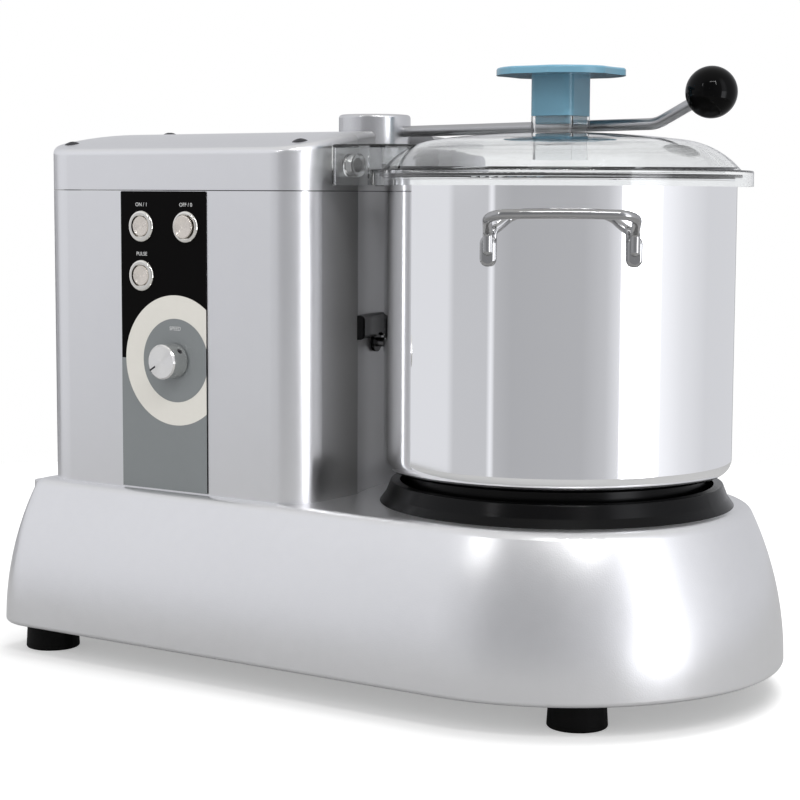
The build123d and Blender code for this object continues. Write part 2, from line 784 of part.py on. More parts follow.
def bowl():
    """A deep-drawn bowl, open in the middle for the drive tube, with a rounded rim bead."""
    radius = bowl_outer_radius
    inner = radius - bowl_wall
    bottom = bowl_bottom_height
    tube_hole = bowl_tube_radius - bowl_tube_wall
    corner = bowl_corner_radius
    inner_corner = corner - bowl_wall
    arc = cos(radians(45))
    outline = [
        Line((tube_hole, bottom), (radius - corner, bottom)),
        ThreePointArc((radius - corner, bottom),
                      (radius - corner + corner * arc, bottom + corner - corner * arc),
                      (radius, bottom + corner)),
        Line((radius, bottom + corner), (radius, bowl_rim_height)),
        Line((radius, bowl_rim_height), (inner, bowl_rim_height)),
        Line((inner, bowl_rim_height), (inner, bottom + corner)),
        ThreePointArc((inner, bottom + corner),
                      (inner - inner_corner + inner_corner * arc, bowl_floor + inner_corner * (1 - arc)),
                      (inner - inner_corner, bowl_floor)),
        Line((inner - inner_corner, bowl_floor), (tube_hole, bowl_floor)),
        Line((tube_hole, bowl_floor), (tube_hole, bottom)),
    ]
    body = revolve(Plane.XZ * make_face(outline), Axis.Z)
    bead = Plane.XZ * Pos(radius - bowl_wall / 2, bowl_rim_height) * Circle(bowl_rim_bead / 2)
    return at_bowl(body + revolve(bead, Axis.Z))


def bowl_tube():
    """The tube welded in the bowl's floor, which the spindle stands up through."""
    tube_wall = tube(bowl_tube_radius, bowl_tube_radius - bowl_tube_wall, bowl_floor, bowl_tube_height)
    return at_bowl(tube_wall)


def handle_path(end):
    """Centre line of one handle: x across the handle, y out from the bowl's axis, z height."""
    half = handle_width / 2 - handle_wire / 2
    root = sqrt(bowl_outer_radius ** 2 - half ** 2) + handle_wire / 2 + handle_pad_lift
    bar = bowl_outer_radius + handle_reach - handle_wire / 2
    corner = bar - handle_bow
    points = [(-half, root, end), (-half, root, end + 2 * handle_wire), (-half, corner, handle_bar_height - 1),
              (0, bar, handle_bar_height), (half, corner, handle_bar_height - 1),
              (half, root, end + 2 * handle_wire), (half, root, end)]
    return FilletPolyline(*points, radius=[handle_root_radius, handle_corner_radius, handle_bow_radius,
                                           handle_corner_radius, handle_root_radius])


def bowl_handle(turn):
    """A bent wire handle whose ends run into two capsule-shaped pads welded to the bowl's side."""
    pad_middle = handle_pad_height + (handle_pad_length - handle_pad_width) / 2
    path = handle_path(pad_middle)
    section = Plane(origin=path @ 0, z_dir=path % 0) * Circle(handle_wire / 2)
    body = sweep(section, path=path)
    half = handle_width / 2 - handle_wire / 2
    root = sqrt(bowl_outer_radius ** 2 - half ** 2)
    capsule = Rot(0, 0, 90) * SlotOverall(handle_pad_length, handle_pad_width)
    for side in (-1, 1):
        back = Plane(origin=(side * half, root - handle_pad_sink, pad_middle), x_dir=(1, 0, 0), z_dir=(0, 1, 0))
        pad = extrude(back * capsule, amount=handle_pad_sink + handle_pad_thickness)
        body += fillet(pad.faces().sort_by(Axis.Y)[-1].edges(), handle_pad_thickness * 0.5)
        body += Pos(side * half, (path @ 0).Y, pad_middle) * Sphere(handle_wire / 2)
    body -= disc(bowl_outer_radius, 0, bowl_rim_height)
    return at_bowl(Rot(0, 0, handle_azimuth - 90 + turn) * body)


# ---------------------------------------------------------------- lid and pusher
def dome_height(radius, lowered=0.0):
    """Height over the deck of the dome's crown arc, or of one lowered from it."""
    return lid_crown_height - lid_crown_radius + sqrt((lid_crown_radius - lowered) ** 2 - radius ** 2)


def dome_curve(lowered):
    """Half of the dome's section: the crown arc and a tighter shoulder that runs into the flange."""
    start = lid_shoulder_start * (lid_crown_radius - lowered) / lid_crown_radius
    crown = ThreePointArc((0, dome_height(0, lowered)), (start / 2, dome_height(start / 2, lowered)),
                          (start, dome_height(start, lowered)))
    end = (lid_dome_radius - lowered * 0.85, lid_flange_top - lowered)
    shoulder = TangentArc((start, dome_height(start, lowered)), end, tangent=crown % 1)
    return crown, shoulder


def dome_solid(lowered, floor):
    """The dome filled down to a floor height."""
    crown, shoulder = dome_curve(lowered)
    end = shoulder @ 1
    sides = [crown, shoulder, Line(end, (end.X, floor)), Line((end.X, floor), (0, floor)),
             Line((0, floor), crown @ 0)]
    return at_bowl(revolve(Plane.XZ * make_face(sides), Axis.Z))


def seal_bottom():
    return bowl_rim_height + bowl_rim_bead / 2 + lid_gap


def lid_ear(grown):
    """The squared-off corner box that reaches towards the housing; grown is negative for its hollow."""
    left = -ear_corner_x - grown
    front = -ear_corner_y - grown
    inner = [(ear_inner_radius * cos(radians(a)), ear_inner_radius * sin(radians(a))) for a in ear_inner_angles]
    outline = Polyline((left, -ear_back_y + grown), (left, front), (-ear_corner_x + ear_front_run + grown, front),
                       inner[1], inner[0], close=True)
    plan = make_face(outline)
    corner = plan.vertices().sort_by(lambda v: v.X + v.Y)[0]
    plan = fillet(corner, ear_corner_radius + grown)
    bottom = lid_skirt_bottom if grown == 0 else lid_skirt_bottom - 1
    return at_bowl(extrude(plan, amount=ear_height + grown - bottom), bottom)


def chimney_section(size):
    return RectangleRounded(size, size, chimney_corner - (chimney_width - size) / 2)


def chimney_prism(size, bottom, top):
    return at_bowl(extrude(chimney_section(size), amount=top - bottom), bottom)


def magnet_place():
    return Pos(bowl_x - ear_corner_x + ear_wall, -ear_corner_y + magnet_setback, base_top + magnet_height) \
        * Rot(0, 90, 0)


def lid():
    """One clear moulding: dome, flange with a skirt, locating ring, corner ear and feed chimney."""
    under = seal_bottom() + lid_seal_thickness
    outer = dome_solid(0, lid_flange_top - lid_wall)
    body = outer - dome_solid(lid_wall, lid_flange_top - 2 * lid_wall)
    flange = tube(lid_flange_radius, lid_locating_radius - lid_wall, under, lid_flange_top)
    rim = flange.edges().filter_by(GeomType.CIRCLE).group_by(Axis.Z)[-1].sort_by(SortBy.RADIUS)[-1]
    flange = fillet(rim, 1.2)
    skirt = tube(lid_flange_radius, lid_flange_radius - lid_wall, lid_skirt_bottom, under + 0.5)
    locating = tube(lid_locating_radius, lid_locating_radius - lid_wall, under - lid_locating_depth, under + 0.5)
    body += at_bowl(flange + skirt + locating)
    ear = lid_ear(0)
    roof = ear.faces().sort_by(Axis.Z)[-1].edges()
    ear = fillet(roof, 2.0) - lid_ear(-ear_wall)
    ear -= at_bowl(disc(lid_flange_radius - 1, 0, lid_flange_top - 0.5))
    ear -= dome_solid(0.5, lid_skirt_bottom - 5)
    body += ear
    body += magnet_place() * disc(magnet_boss_radius, -0.5, magnet_thickness + ear_wall)
    body -= magnet_place() * disc(magnet_diameter / 2, 0, magnet_thickness)
    neck = chimney_width - 2 * chimney_neck_step
    body += chimney_prism(neck, chimney_bottom, chimney_neck_height + 0.5)
    body += chimney_prism(chimney_width, chimney_neck_height, chimney_top)
    return body - chimney_prism(chimney_width - 2 * chimney_wall, chimney_bottom - 1, chimney_top + 1)


def lid_seal():
    middle = bowl_outer_radius - bowl_wall / 2 + 1
    ring = tube(middle + lid_seal_width / 2, middle - lid_seal_width / 2 + 1, seal_bottom(),
                seal_bottom() + lid_seal_thickness)
    return at_bowl(ring)


def lid_magnet():
    return magnet_place() * disc(magnet_diameter / 2, 0, magnet_thickness)


def pusher():
    """A square spigot in the chimney's mouth under a grip block and a plate with four finger scallops."""
    bore = chimney_width - 2 * chimney_wall
    stem = chimney_prism(bore - 2 * pusher_clearance, chimney_top - pusher_spigot_length, chimney_top + lid_gap + 1)
    stem = fillet(stem.faces().sort_by(Axis.Z)[0].edges(), 1.5)
    block = chimney_prism(chimney_width, chimney_top + lid_gap, pusher_body_top + 1)
    plate = Circle(pusher_plate_radius)
    for i in range(4):
        reach = pusher_plate_waist + pusher_plate_scallop
        plate -= Rot(0, 0, 90 * i) * Pos(reach, 0) * Circle(pusher_plate_scallop)
    plate = fillet(plate.vertices(), 7.0)
    top = at_bowl(extrude(plate, amount=pusher_plate_top - pusher_body_top), pusher_body_top)
    top = fillet(top.edges().filter_by(lambda e: abs(e.center().Z - base_top - pusher_plate_top) < 0.1), 1.6)
    return stem + block + top


# ---------------------------------------------------------------- swing lever
def on_post(shape, height=0.0):
    """Places a shape drawn round Z on the lever post's axis, measured up from the deck."""
    return Pos(*lever_place, base_top + height) * shape


def along_arm(distance, height):
    return Vector(distance * arm_direction[0], distance * arm_direction[1], height)


def arm_points():
    """Arm centre line over the post's axis: socket, bend, and the end inside the ball."""
    start = hub_radius - arm_socket_depth
    slope = sin(radians(arm_slope))
    first = along_arm(start, arm_height + start * slope)
    bend = along_arm(arm_bend_distance, arm_height + arm_bend_distance * slope)
    ball = along_arm(ball_distance, ball_height)
    run = (ball - bend).normalized()
    return first, bend, ball - run * (ball_radius - ball_socket_depth), ball, run


def lever_hub():
    body = disc(hub_radius, hub_bottom, hub_top)
    rims = body.edges().filter_by(GeomType.CIRCLE).sort_by(Axis.Z)
    body = fillet(rims[-1], hub_chamfer)
    body -= disc(post_radius, hub_bottom - 1, hub_post_top)
    first, bend, end, ball, run = arm_points()
    line = (bend - first).normalized()
    socket = Plane(origin=first, z_dir=line) * disc(arm_diameter / 2, 0, hub_radius)
    return on_post(body - socket)


def lever_arm():
    first, bend, end, ball, run = arm_points()
    path = FilletPolyline(first, bend, end, radius=arm_bend_radius)
    section = Plane(origin=path @ 0, z_dir=path % 0) * Circle(arm_diameter / 2)
    return on_post(sweep(section, path=path))


def ball_knob():
    first, bend, end, ball, run = arm_points()
    body = Pos(*ball) * Sphere(ball_radius)
    body -= Plane(origin=end, z_dir=-run) * disc(arm_diameter / 2, 0, 2 * ball_radius)
    return on_post(body)


def lever_post():
    """The post with two collars that carry the lift collar between them."""
    post = disc(post_radius, post_bottom, hub_post_top)
    for height in (collar_height - collar_stop_gap - collar_stop_thickness,
                   collar_height + collar_thickness + collar_stop_gap):
        post += disc(collar_stop_radius, height, height + collar_stop_thickness)
    return on_post(post)


def lift_collar():
    """Rises with the post without turning: a guide rod passes through its ear."""
    plan = make_hull((Circle(collar_radius) + Pos(0, guide_rod_offset) * Circle(guide_rod_radius * 2)).edges())
    plan -= Circle(post_radius + running_fit)
    plan -= Pos(0, guide_rod_offset) * Circle(guide_rod_radius + running_fit)
    return on_post(extrude(plan, amount=collar_thickness), collar_height)


def lever_bracket():
    """A bracket bolted to the deck whose two arms hold the post's bushings and the guide rod."""
    top = bracket_arm_heights[1] + bracket_arm_thickness
    width = 2 * bracket_half_width
    length = bracket_depth + bracket_front_reach

    def slab(bottom, thickness):
        middle = (bracket_front_reach - bracket_depth) / 2
        return Pos(middle, 0, bottom + thickness / 2) * Box(length, width, thickness)

    back = Pos(-bracket_depth + bracket_wall / 2, 0, top / 2) * Box(bracket_wall, width, top)
    body = back + slab(0, bracket_wall)
    for height in bracket_arm_heights:
        body += slab(height, bracket_arm_thickness)
    body -= disc(post_radius + bushing_wall, bracket_wall + 1, top + 1)
    rod = disc(guide_rod_radius, bracket_arm_heights[0], bracket_arm_heights[1] + 1)
    return on_post(body + Pos(0, guide_rod_offset) * rod)


def lever_bushings():
    bushing = tube(post_radius + bushing_wall, bore_fit_radius, 0, bracket_arm_thickness)
    return Compound(children=[on_post(bushing, height) for height in bracket_arm_heights])


def post_wiper():
    """A flanged ring in the cover's floor that keeps water off the post."""
    bore = post_radius + seal_gap
    sleeve = tube(post_radius + bushing_wall, bore, housing_height + cover_seam, notch_floor_height)
    return on_post(sleeve + tube(post_radius + bushing_wall + 3, bore, notch_floor_height, notch_floor_height + 2.5))


# ---------------------------------------------------------------- bowl sensor
def sensor_tip():
    return bowl_outer_radius + sensor_tip_gap


def sensor_pin():
    pin = disc(sensor_pin_radius, sensor_tip(), recess_radius + sensor_guide_depth - 4)
    tip = pin.edges().filter_by(GeomType.CIRCLE)
    tip = tip.sort_by(Axis.Z)[0]
    return sensor_axis(fillet(tip, 1.5))


def sensor_guide():
    bore = sensor_pin_radius + running_fit
    flange = tube(sensor_guide_radius + 1.5, bore, recess_radius - sensor_guide_flange - 0.6, recess_radius - 0.6)
    return sensor_axis(flange + tube(sensor_guide_radius, bore, recess_radius - 0.7,
                                     recess_radius + sensor_guide_depth))


def sensor_hood():
    """A rounded black bumper on the housing's hollow side that shades the sensor pin from drips."""
    bottom = sensor_height + sensor_hood_rise
    hood = sector(recess_radius, recess_radius - sensor_hood_depth, bottom, bottom + sensor_hood_height,
                  sensor_hood_azimuth, sensor_hood_sweep)
    front = hood.faces().sort_by(lambda f: hypot(f.center().X, f.center().Y))[0]
    hood = at_bowl(fillet(front.edges(), sensor_hood_depth * 0.6))
    return hood - sensor_axis(disc(sensor_guide_radius + 1.7, recess_radius - 10, recess_radius + 2))


# ---------------------------------------------------------------- spindle and blades
def polar(count, radius, start=0.0):
    return [Pos(radius * cos(radians(start + 360 * i / count)), radius * sin(radians(start + 360 * i / count)))
            for i in range(count)]


def bolt(shank_length):
    """A cap screw standing head down under Z = 0 with its shank pointing up."""
    socket = extrude(hexagon(bolt_head_diameter / 2), amount=bolt_head_height / 2)
    body = disc(bolt_head_diameter / 2, -bolt_head_height, 0) + disc(bolt_diameter / 2, 0, shank_length)
    return body - Pos(0, 0, -bolt_head_height) * socket


def spindle_housing():
    outer = bearing_radius + bearing_wall
    bore = bearing_radius
    step = bore - 3
    flange_top = -base_wall
    flange_bottom = flange_top - spindle_flange_thickness
    low = spindle_housing_bottom
    body = revolved([(bore, low), (outer, low), (outer, flange_bottom), (spindle_flange_radius, flange_bottom),
                     (spindle_flange_radius, flange_top), (outer, flange_top), (outer, spindle_housing_top),
                     (bore, spindle_housing_top), (bore, -bearing_width), (step, -bearing_width),
                     (step, low + bearing_width), (bore, low + bearing_width)])
    for place in polar(spindle_bolt_count, spindle_bolt_circle / 2):
        body -= place * disc(bolt_diameter / 2 + screw_fit, flange_bottom - 1, flange_top + 1)
    return at_bowl(body)


def bearing():
    """A sealed ball bearing as one ring, with the shallow groove between its races on both faces."""
    inner = spindle_radius + running_fit
    body = tube(bearing_radius, inner, 0, bearing_width)
    middle = (bearing_radius + inner) / 2
    for height in (-1, bearing_width - 0.8):
        body -= tube(middle + 3, middle - 3, height, height + 1.8)
    return body


def spindle_bearings():
    return Compound(children=[at_bowl(bearing(), -bearing_width), at_bowl(bearing(), spindle_housing_bottom)])


def spindle_seal():
    ring = tube(bearing_radius, spindle_radius + running_fit, 0, seal_width)
    return at_bowl(ring - tube(bearing_radius - 4, spindle_radius + 2.5, seal_width - 2, seal_width + 1))


def spindle():
    """The drive shaft: pulley seat, bearing journals, shoulder over the seal and a two-flat drive end."""
    top = blade_hub_top
    shaft = revolved([(0, pulley_bottom - retaining_nut_height), (spindle_radius, pulley_bottom - retaining_nut_height),
                      (spindle_radius, seal_width + seal_gap), (spindle_shoulder_radius, seal_width + seal_gap),
                      (spindle_shoulder_radius, seal_width + 6), (spindle_radius, seal_width + 8),
                      (spindle_radius, top - blade_hub_cap - 24), (spindle_top_radius, top - blade_hub_cap - 20),
                      (spindle_top_radius, top), (cap_thread_radius, top),
                      (cap_thread_radius, top + cap_nut_height * 0.6), (0, top + cap_nut_height * 0.6)])
    return at_bowl(shaft - drive_flats(top - blade_hub_cap, top))


def drive_flats(bottom, top):
    """What the two drive flats take off the spindle's top."""
    width = 2 * spindle_top_radius
    cuts = Part()
    for side in (-1, 1):
        cuts += Pos(side * (drive_flat_half + width / 2), 0, (bottom + top) / 2) * Box(width, 2 * width, top - bottom)
    return cuts & tube(2 * spindle_top_radius, cap_thread_radius, bottom, top)


def blade_hub():
    """A sleeve over the bowl's tube with a flange that carries the lower blade."""
    bore = bowl_tube_radius + 1
    top = blade_hub_top
    sleeve = revolved([(bore, blade_hub_bottom), (blade_flange_radius, blade_hub_bottom),
                       (blade_flange_radius, blade_heights[0]), (blade_hub_radius, blade_heights[0]),
                       (blade_hub_radius, top - 4), (blade_hub_radius - 4, top), (0, top),
                       (0, top - blade_hub_cap), (bore, top - blade_hub_cap)])
    hole = disc(spindle_top_radius, top - blade_hub_cap - 1, top + 1) - drive_flats(top - blade_hub_cap - 1, top + 1)
    return at_bowl(sleeve - hole)


def sickle_blade(height, turn):
    """A pair of curved blades round one eye, ground to a bevel along their leading edges."""
    tip = bowl_outer_radius - bowl_wall - blade_tip_gap
    arm = make_face([ThreePointArc((-blade_root_width * 0.2, blade_flange_radius * 0.95),
                                   (tip * 0.62, tip * 0.36), (tip, 0)),
                     ThreePointArc((tip, 0), (tip * 0.6, tip * 0.1), (blade_root_width * 0.5,
                                                                     -blade_flange_radius * 0.8)),
                     Line((blade_root_width * 0.5, -blade_flange_radius * 0.8),
                          (-blade_root_width * 0.2, blade_flange_radius * 0.95))])
    wing = extrude(arm, amount=blade_thickness)
    top = wing.faces().sort_by(Axis.Z)[-1]
    edge = top.edges().filter_by(lambda e: e.length > tip * 0.8).sort_by(Axis.Y)[-1]
    wing = chamfer(edge, blade_bevel_width, blade_thickness * 0.8, reference=top)
    body = disc(blade_flange_radius, 0, blade_thickness) + wing + Rot(0, 0, 180) * wing
    body -= disc(blade_hub_radius, -1, blade_thickness + 1)
    return at_bowl(Rot(0, 0, turn) * body, height)


def blade_spacer():
    """Ribbed sleeve that sets the gap between the two blade levels and clamps the upper one."""
    low = blade_heights[0] + blade_thickness
    return at_bowl(tube(blade_flange_radius - 1, blade_hub_radius, low, blade_heights[1]))


def blade_clamp():
    low = blade_heights[1] + blade_thickness
    ring = tube(blade_flange_radius - 1, blade_hub_radius, low, low + blade_collar_height)
    top = ring.edges().filter_by(GeomType.CIRCLE).group_by(Axis.Z)[-1].sort_by(SortBy.RADIUS)[-1]
    ring = chamfer(top, 1.5)
    for place in polar(4, blade_flange_radius):
        ring -= place * disc(3, low - 1, low + blade_collar_height + 1)
    return at_bowl(ring)


def blade_cap():
    """The hand nut on top of the blades, with six finger flutes."""
    body = disc(cap_nut_radius, 0, cap_nut_height)
    body = fillet(body.edges().filter_by(GeomType.CIRCLE).sort_by(Axis.Z)[-1], 3)
    for place in polar(6, cap_nut_radius + 1.5):
        body -= place * disc(3.5, 3, cap_nut_height + 1)
    body -= disc(cap_thread_radius, -1, cap_nut_height * 0.6)
    return at_bowl(body, blade_hub_top)


# ---------------------------------------------------------------- belt drive and motor
def pulley(radius, bore):
    """A ribbed-belt pulley with two flanges and a hub web."""
    flange = radius + belt_thickness / 2
    face = pulley_width - 2 * pulley_flange
    pitch = face / (pulley_groove_count + 1)
    points = [(bore, 0), (flange, 0), (flange, pulley_flange), (radius, pulley_flange)]
    for i in range(pulley_groove_count):
        middle = pulley_flange + pitch * (i + 1)
        points += [(radius, middle - pitch * 0.4), (radius - pulley_groove_depth, middle),
                   (radius, middle + pitch * 0.4)]
    points += [(radius, pulley_width - pulley_flange), (flange, pulley_width - pulley_flange),
               (flange, pulley_width), (bore, pulley_width)]
    return revolved(points)


def driven_pulley():
    wheel = pulley(driven_pulley_radius, spindle_radius)
    holes = polar(5, (driven_pulley_radius + spindle_radius) / 2 + 1)
    for place in holes:
        wheel -= place * disc((driven_pulley_radius - spindle_radius) / 4, -1, pulley_width + 1)
    return at_bowl(wheel, pulley_bottom)


def motor_pulley():
    return Pos(*motor_place, base_top + pulley_bottom) * pulley(motor_pulley_radius, motor_shaft_radius)


def belt_loop(offset):
    big = Circle(driven_pulley_radius + offset)
    small = Pos(-motor_x, 0) * Circle(motor_pulley_radius + offset)
    return make_hull((big + small).edges())


def drive_belt():
    loop = belt_loop(belt_gap + belt_thickness) - belt_loop(belt_gap)
    width = pulley_width - 2 * pulley_flange - 1
    return at_bowl(extrude(loop, amount=width), pulley_bottom + pulley_flange + 0.5)


def on_motor(shape, height=0.0):
    return Pos(*motor_place, base_top + height) * shape


def motor_body():
    """A finned stator can on a square-drilled flange, with bearing bosses at both ends."""
    top = motor_bottom + motor_height
    core = motor_radius - motor_fin_depth
    body = disc(motor_flange_radius, 0, motor_bottom) + disc(core, motor_bottom - 1, top)
    fin = Pos(core + motor_fin_depth / 2 - 0.5, 0, motor_bottom + motor_height / 2)
    fin = fin * Box(motor_fin_depth + 1, motor_fin_width, motor_height - 24)
    fins = [Rot(0, 0, 360 * i / motor_fin_count) * fin for i in range(motor_fin_count)]
    body = body + fins
    body += disc(motor_shaft_hole_radius - 1, -base_wall, 1)
    body -= disc(motor_shaft_radius + running_fit, -base_wall - 1, top + 1)
    for place in polar(motor_bolt_count, motor_bolt_circle / 2, 45):
        body -= place * disc(bolt_diameter / 2 + screw_fit, -1, motor_bottom + 1)
    return on_motor(body)


def deck_bolts():
    """The cap screws through the deck: up into it round the spindle, down into it round the motor."""
    flange_bottom = -base_wall - spindle_flange_thickness
    upwards = Pos(0, 0, flange_bottom) * bolt(base_wall + spindle_flange_thickness - 0.5)
    downwards = Pos(0, 0, motor_bottom) * Rot(180, 0, 0) * bolt(motor_bottom + base_wall - 0.5)
    bolts = [at_bowl(place * upwards) for place in polar(spindle_bolt_count, spindle_bolt_circle / 2)]
    bolts += [on_motor(place * downwards) for place in polar(motor_bolt_count, motor_bolt_circle / 2, 45)]
    return Compound(children=bolts)


def motor_shaft():
    top = motor_bottom + motor_height + fan_gap + fan_height
    return on_motor(disc(motor_shaft_radius, pulley_bottom - retaining_nut_height, top))


def motor_fan():
    bottom = motor_bottom + motor_height + fan_gap
    body = disc(fan_hub_radius, bottom, bottom + fan_height)
    blade = Pos((fan_radius + fan_hub_radius) / 2 - 1, 0, bottom + fan_height / 2) * Rot(35, 0, 0)
    blade = blade * Box(fan_radius - fan_hub_radius + 2, 1.5, fan_height * 1.05)
    blades = [Rot(0, 0, 360 * i / fan_blade_count) * blade for i in range(fan_blade_count)]
    body = (body + blades) & disc(fan_radius, bottom, bottom + fan_height)
    return on_motor(body - disc(motor_shaft_radius, bottom - 1, bottom + fan_height + 1))


def fan_cowl():
    """A pressed cowl over the fan with a ring of air slots."""
    low = motor_bottom + motor_height
    high = low + fan_gap + fan_height + 6
    inner = fan_radius + 3
    body = disc(inner + 1.5, low, high) - disc(inner, low - 1, high - 1.5)
    slot = Pos(fan_radius * 0.6, 0, high) * Box(fan_radius * 0.5, 5, 6)
    for i in range(12):
        body -= Rot(0, 0, 30 * i) * slot
    return on_motor(body)


# ---------------------------------------------------------------- cable gland
def on_back_wall(shape):
    return Pos(bowl_x - gland_x, housing_width / 2, base_top + gland_height) * Rot(-90, 0, 0) * shape


def cable_gland():
    """A gland with a hexagon, a domed nut and an open bore, and its locknut inside the wall."""
    barrel = gland_radius * 0.75
    body = extrude(hexagon(gland_nut_width * 0.85), amount=gland_nut_thickness * 0.6)
    body += disc(gland_radius * 0.85, 0, gland_length * 0.55)
    dome = disc(gland_radius * 0.9, gland_length * 0.45, gland_length)
    body += fillet(dome.edges().filter_by(GeomType.CIRCLE).sort_by(Axis.Z)[-1], 4)
    body += disc(barrel, -housing_sheet - gland_nut_thickness, 1)
    body -= disc(gland_bore_radius, -20, gland_length + 1)
    nut = Pos(0, 0, -housing_sheet - gland_nut_thickness) * extrude(hexagon(gland_nut_width),
                                                                   amount=gland_nut_thickness * 0.8)
    nut -= disc(barrel + screw_fit, -20, 0)
    return Compound(children=[on_back_wall(body), on_back_wall(nut)])


# ---------------------------------------------------------------- fixings through the deck
def seat_screw_places():
    return polar(seat_screw_count, seat_screw_circle / 2, 45)


def seat_ring_drilled():
    ring = bowl_seat_ring()
    radius = seat_screw_diameter / 2 + screw_fit
    sink = revolved([(0, -1), (radius, -1), (radius, ring_floor_height - radius + screw_fit),
                     (2 * radius, ring_floor_height), (2 * radius, ring_floor_height + 0.2),
                     (0, ring_floor_height + 0.2)])
    for place in seat_screw_places():
        ring -= at_bowl(place * sink)
    return ring


def seat_ring_screws():
    """Countersunk screws that hold the seat ring to the deck, flush with its floor."""
    radius = seat_screw_diameter / 2
    head = revolved([(0, -base_wall + 0.5), (radius, -base_wall + 0.5), (radius, ring_floor_height - radius),
                     (2 * radius, ring_floor_height), (0, ring_floor_height)])
    return Compound(children=[at_bowl(place * head) for place in seat_screw_places()])


def deck_holes(body):
    """Drills the deck for the spindle housing, the seat ring and the motor."""
    for place in polar(spindle_bolt_count, spindle_bolt_circle / 2):
        body -= at_bowl(place * disc(bolt_diameter / 2 + screw_fit, -base_wall - 1, 1))
    for place in seat_screw_places():
        body -= at_bowl(place * disc(seat_screw_diameter / 2 + screw_fit, -base_wall - 1, 1))
    for place in polar(motor_bolt_count, motor_bolt_circle / 2, 45):
        body -= on_motor(place * disc(bolt_diameter / 2 + screw_fit, -base_wall - 1, 1))
    return body


# ---------------------------------------------------------------- assembly
def switch_bodies():
    bodies = []
    for name, (x, z) in button_places.items():
        cap, depth, face = button_pocket(name)
        bodies.append(facing_front(switch_body(cap, depth), x, z, panel_front))
    return Compound(children=bodies)


def front_button(name):
    x, z = button_places[name]
    return facing_front(button_cap(name), x, z, panel_front)


def rubber_feet():
    return Compound(children=[Pos(x, y) * foot() for x, y in foot_places])


nodes = {
    "base_casting": lambda: deck_holes(base_casting()),
    "base_bottom_plate": base_bottom_plate,
    "rubber_feet": rubber_feet,
    "foot_screws": foot_screws,
    "housing_shell": housing_shell,
    "top_cover": top_cover,
    "cover_screws": cover_screws,
    "cover_posts": cover_posts,
    "panel_overlay": panel_overlay,
    "switch_bodies": switch_bodies,
    "switch_nuts": switch_nuts,
    "on_button": lambda: front_button("on"),
    "off_button": lambda: front_button("off"),
    "pulse_button": lambda: front_button("pulse"),
    "speed_knob": speed_knob,
    "dial_shaft": dial_shaft,
    "dial_body": dial_body,
    "control_board": control_board,
    "board_standoffs": board_standoffs,
    "bowl_seat_ring": seat_ring_drilled,
    "seat_ring_screws": seat_ring_screws,
    "bowl": bowl,
    "bowl_foot_ring": bowl_foot_ring,
    "bowl_tube": bowl_tube,
    "front_handle": lambda: bowl_handle(0),
    "back_handle": lambda: bowl_handle(180),
    "lid": lid,
    "lid_seal": lid_seal,
    "lid_magnet": lid_magnet,
    "pusher": pusher,
    "lever_hub": lever_hub,
    "lever_arm": lever_arm,
    "ball_knob": ball_knob,
    "lever_post": lever_post,
    "lift_collar": lift_collar,
    "lever_bracket": lever_bracket,
    "lever_bushings": lever_bushings,
    "post_wiper": post_wiper,
    "sensor_pin": sensor_pin,
    "sensor_guide": sensor_guide,
    "sensor_hood": sensor_hood,
    "spindle_housing": spindle_housing,
    "spindle_bearings": spindle_bearings,
    "spindle_seal": spindle_seal,
    "spindle": spindle,
    "blade_hub": blade_hub,
    "lower_blade": lambda: sickle_blade(blade_heights[0], blade_turns[0]),
    "upper_blade": lambda: sickle_blade(blade_heights[1], blade_turns[1]),
    "blade_spacer": blade_spacer,
    "blade_clamp": blade_clamp,
    "blade_cap": blade_cap,
    "driven_pulley": driven_pulley,
    "motor_pulley": motor_pulley,
    "drive_belt": drive_belt,
    "motor_body": motor_body,
    "deck_bolts": deck_bolts,
    "motor_shaft": motor_shaft,
    "motor_fan": motor_fan,
    "fan_cowl": fan_cowl,
    "cable_gland": cable_gland,
}

os.makedirs("parts", exist_ok=True)
for name, make in nodes.items():
    export_step(make(), f"parts/{name}.step")
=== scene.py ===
"""Looks of a bench-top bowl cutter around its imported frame.

Metres, +Z up. -Y is the side with the control panel, +X the bowl's end.
"""
import json
import math

import bmesh
import bpy
from mathutils import Matrix, Vector


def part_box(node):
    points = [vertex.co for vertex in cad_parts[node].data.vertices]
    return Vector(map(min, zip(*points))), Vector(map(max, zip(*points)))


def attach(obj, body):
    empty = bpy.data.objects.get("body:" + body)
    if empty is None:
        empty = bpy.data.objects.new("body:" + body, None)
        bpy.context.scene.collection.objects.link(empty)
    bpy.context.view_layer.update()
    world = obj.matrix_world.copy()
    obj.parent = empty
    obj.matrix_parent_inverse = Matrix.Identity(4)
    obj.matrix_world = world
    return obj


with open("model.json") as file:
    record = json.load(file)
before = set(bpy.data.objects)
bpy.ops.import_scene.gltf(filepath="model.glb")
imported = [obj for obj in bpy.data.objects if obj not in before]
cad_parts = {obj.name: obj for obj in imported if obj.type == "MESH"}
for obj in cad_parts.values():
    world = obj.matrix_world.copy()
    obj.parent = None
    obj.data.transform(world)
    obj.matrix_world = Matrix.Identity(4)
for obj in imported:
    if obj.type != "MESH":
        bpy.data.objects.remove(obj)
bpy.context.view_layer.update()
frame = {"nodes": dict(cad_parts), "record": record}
nodes = frame["nodes"]


def centre(node):
    low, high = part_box(node)
    return (low + high) / 2


def add_object(name, data):
    obj = bpy.data.objects.new(name, data)
    bpy.context.scene.collection.objects.link(obj)
    return obj


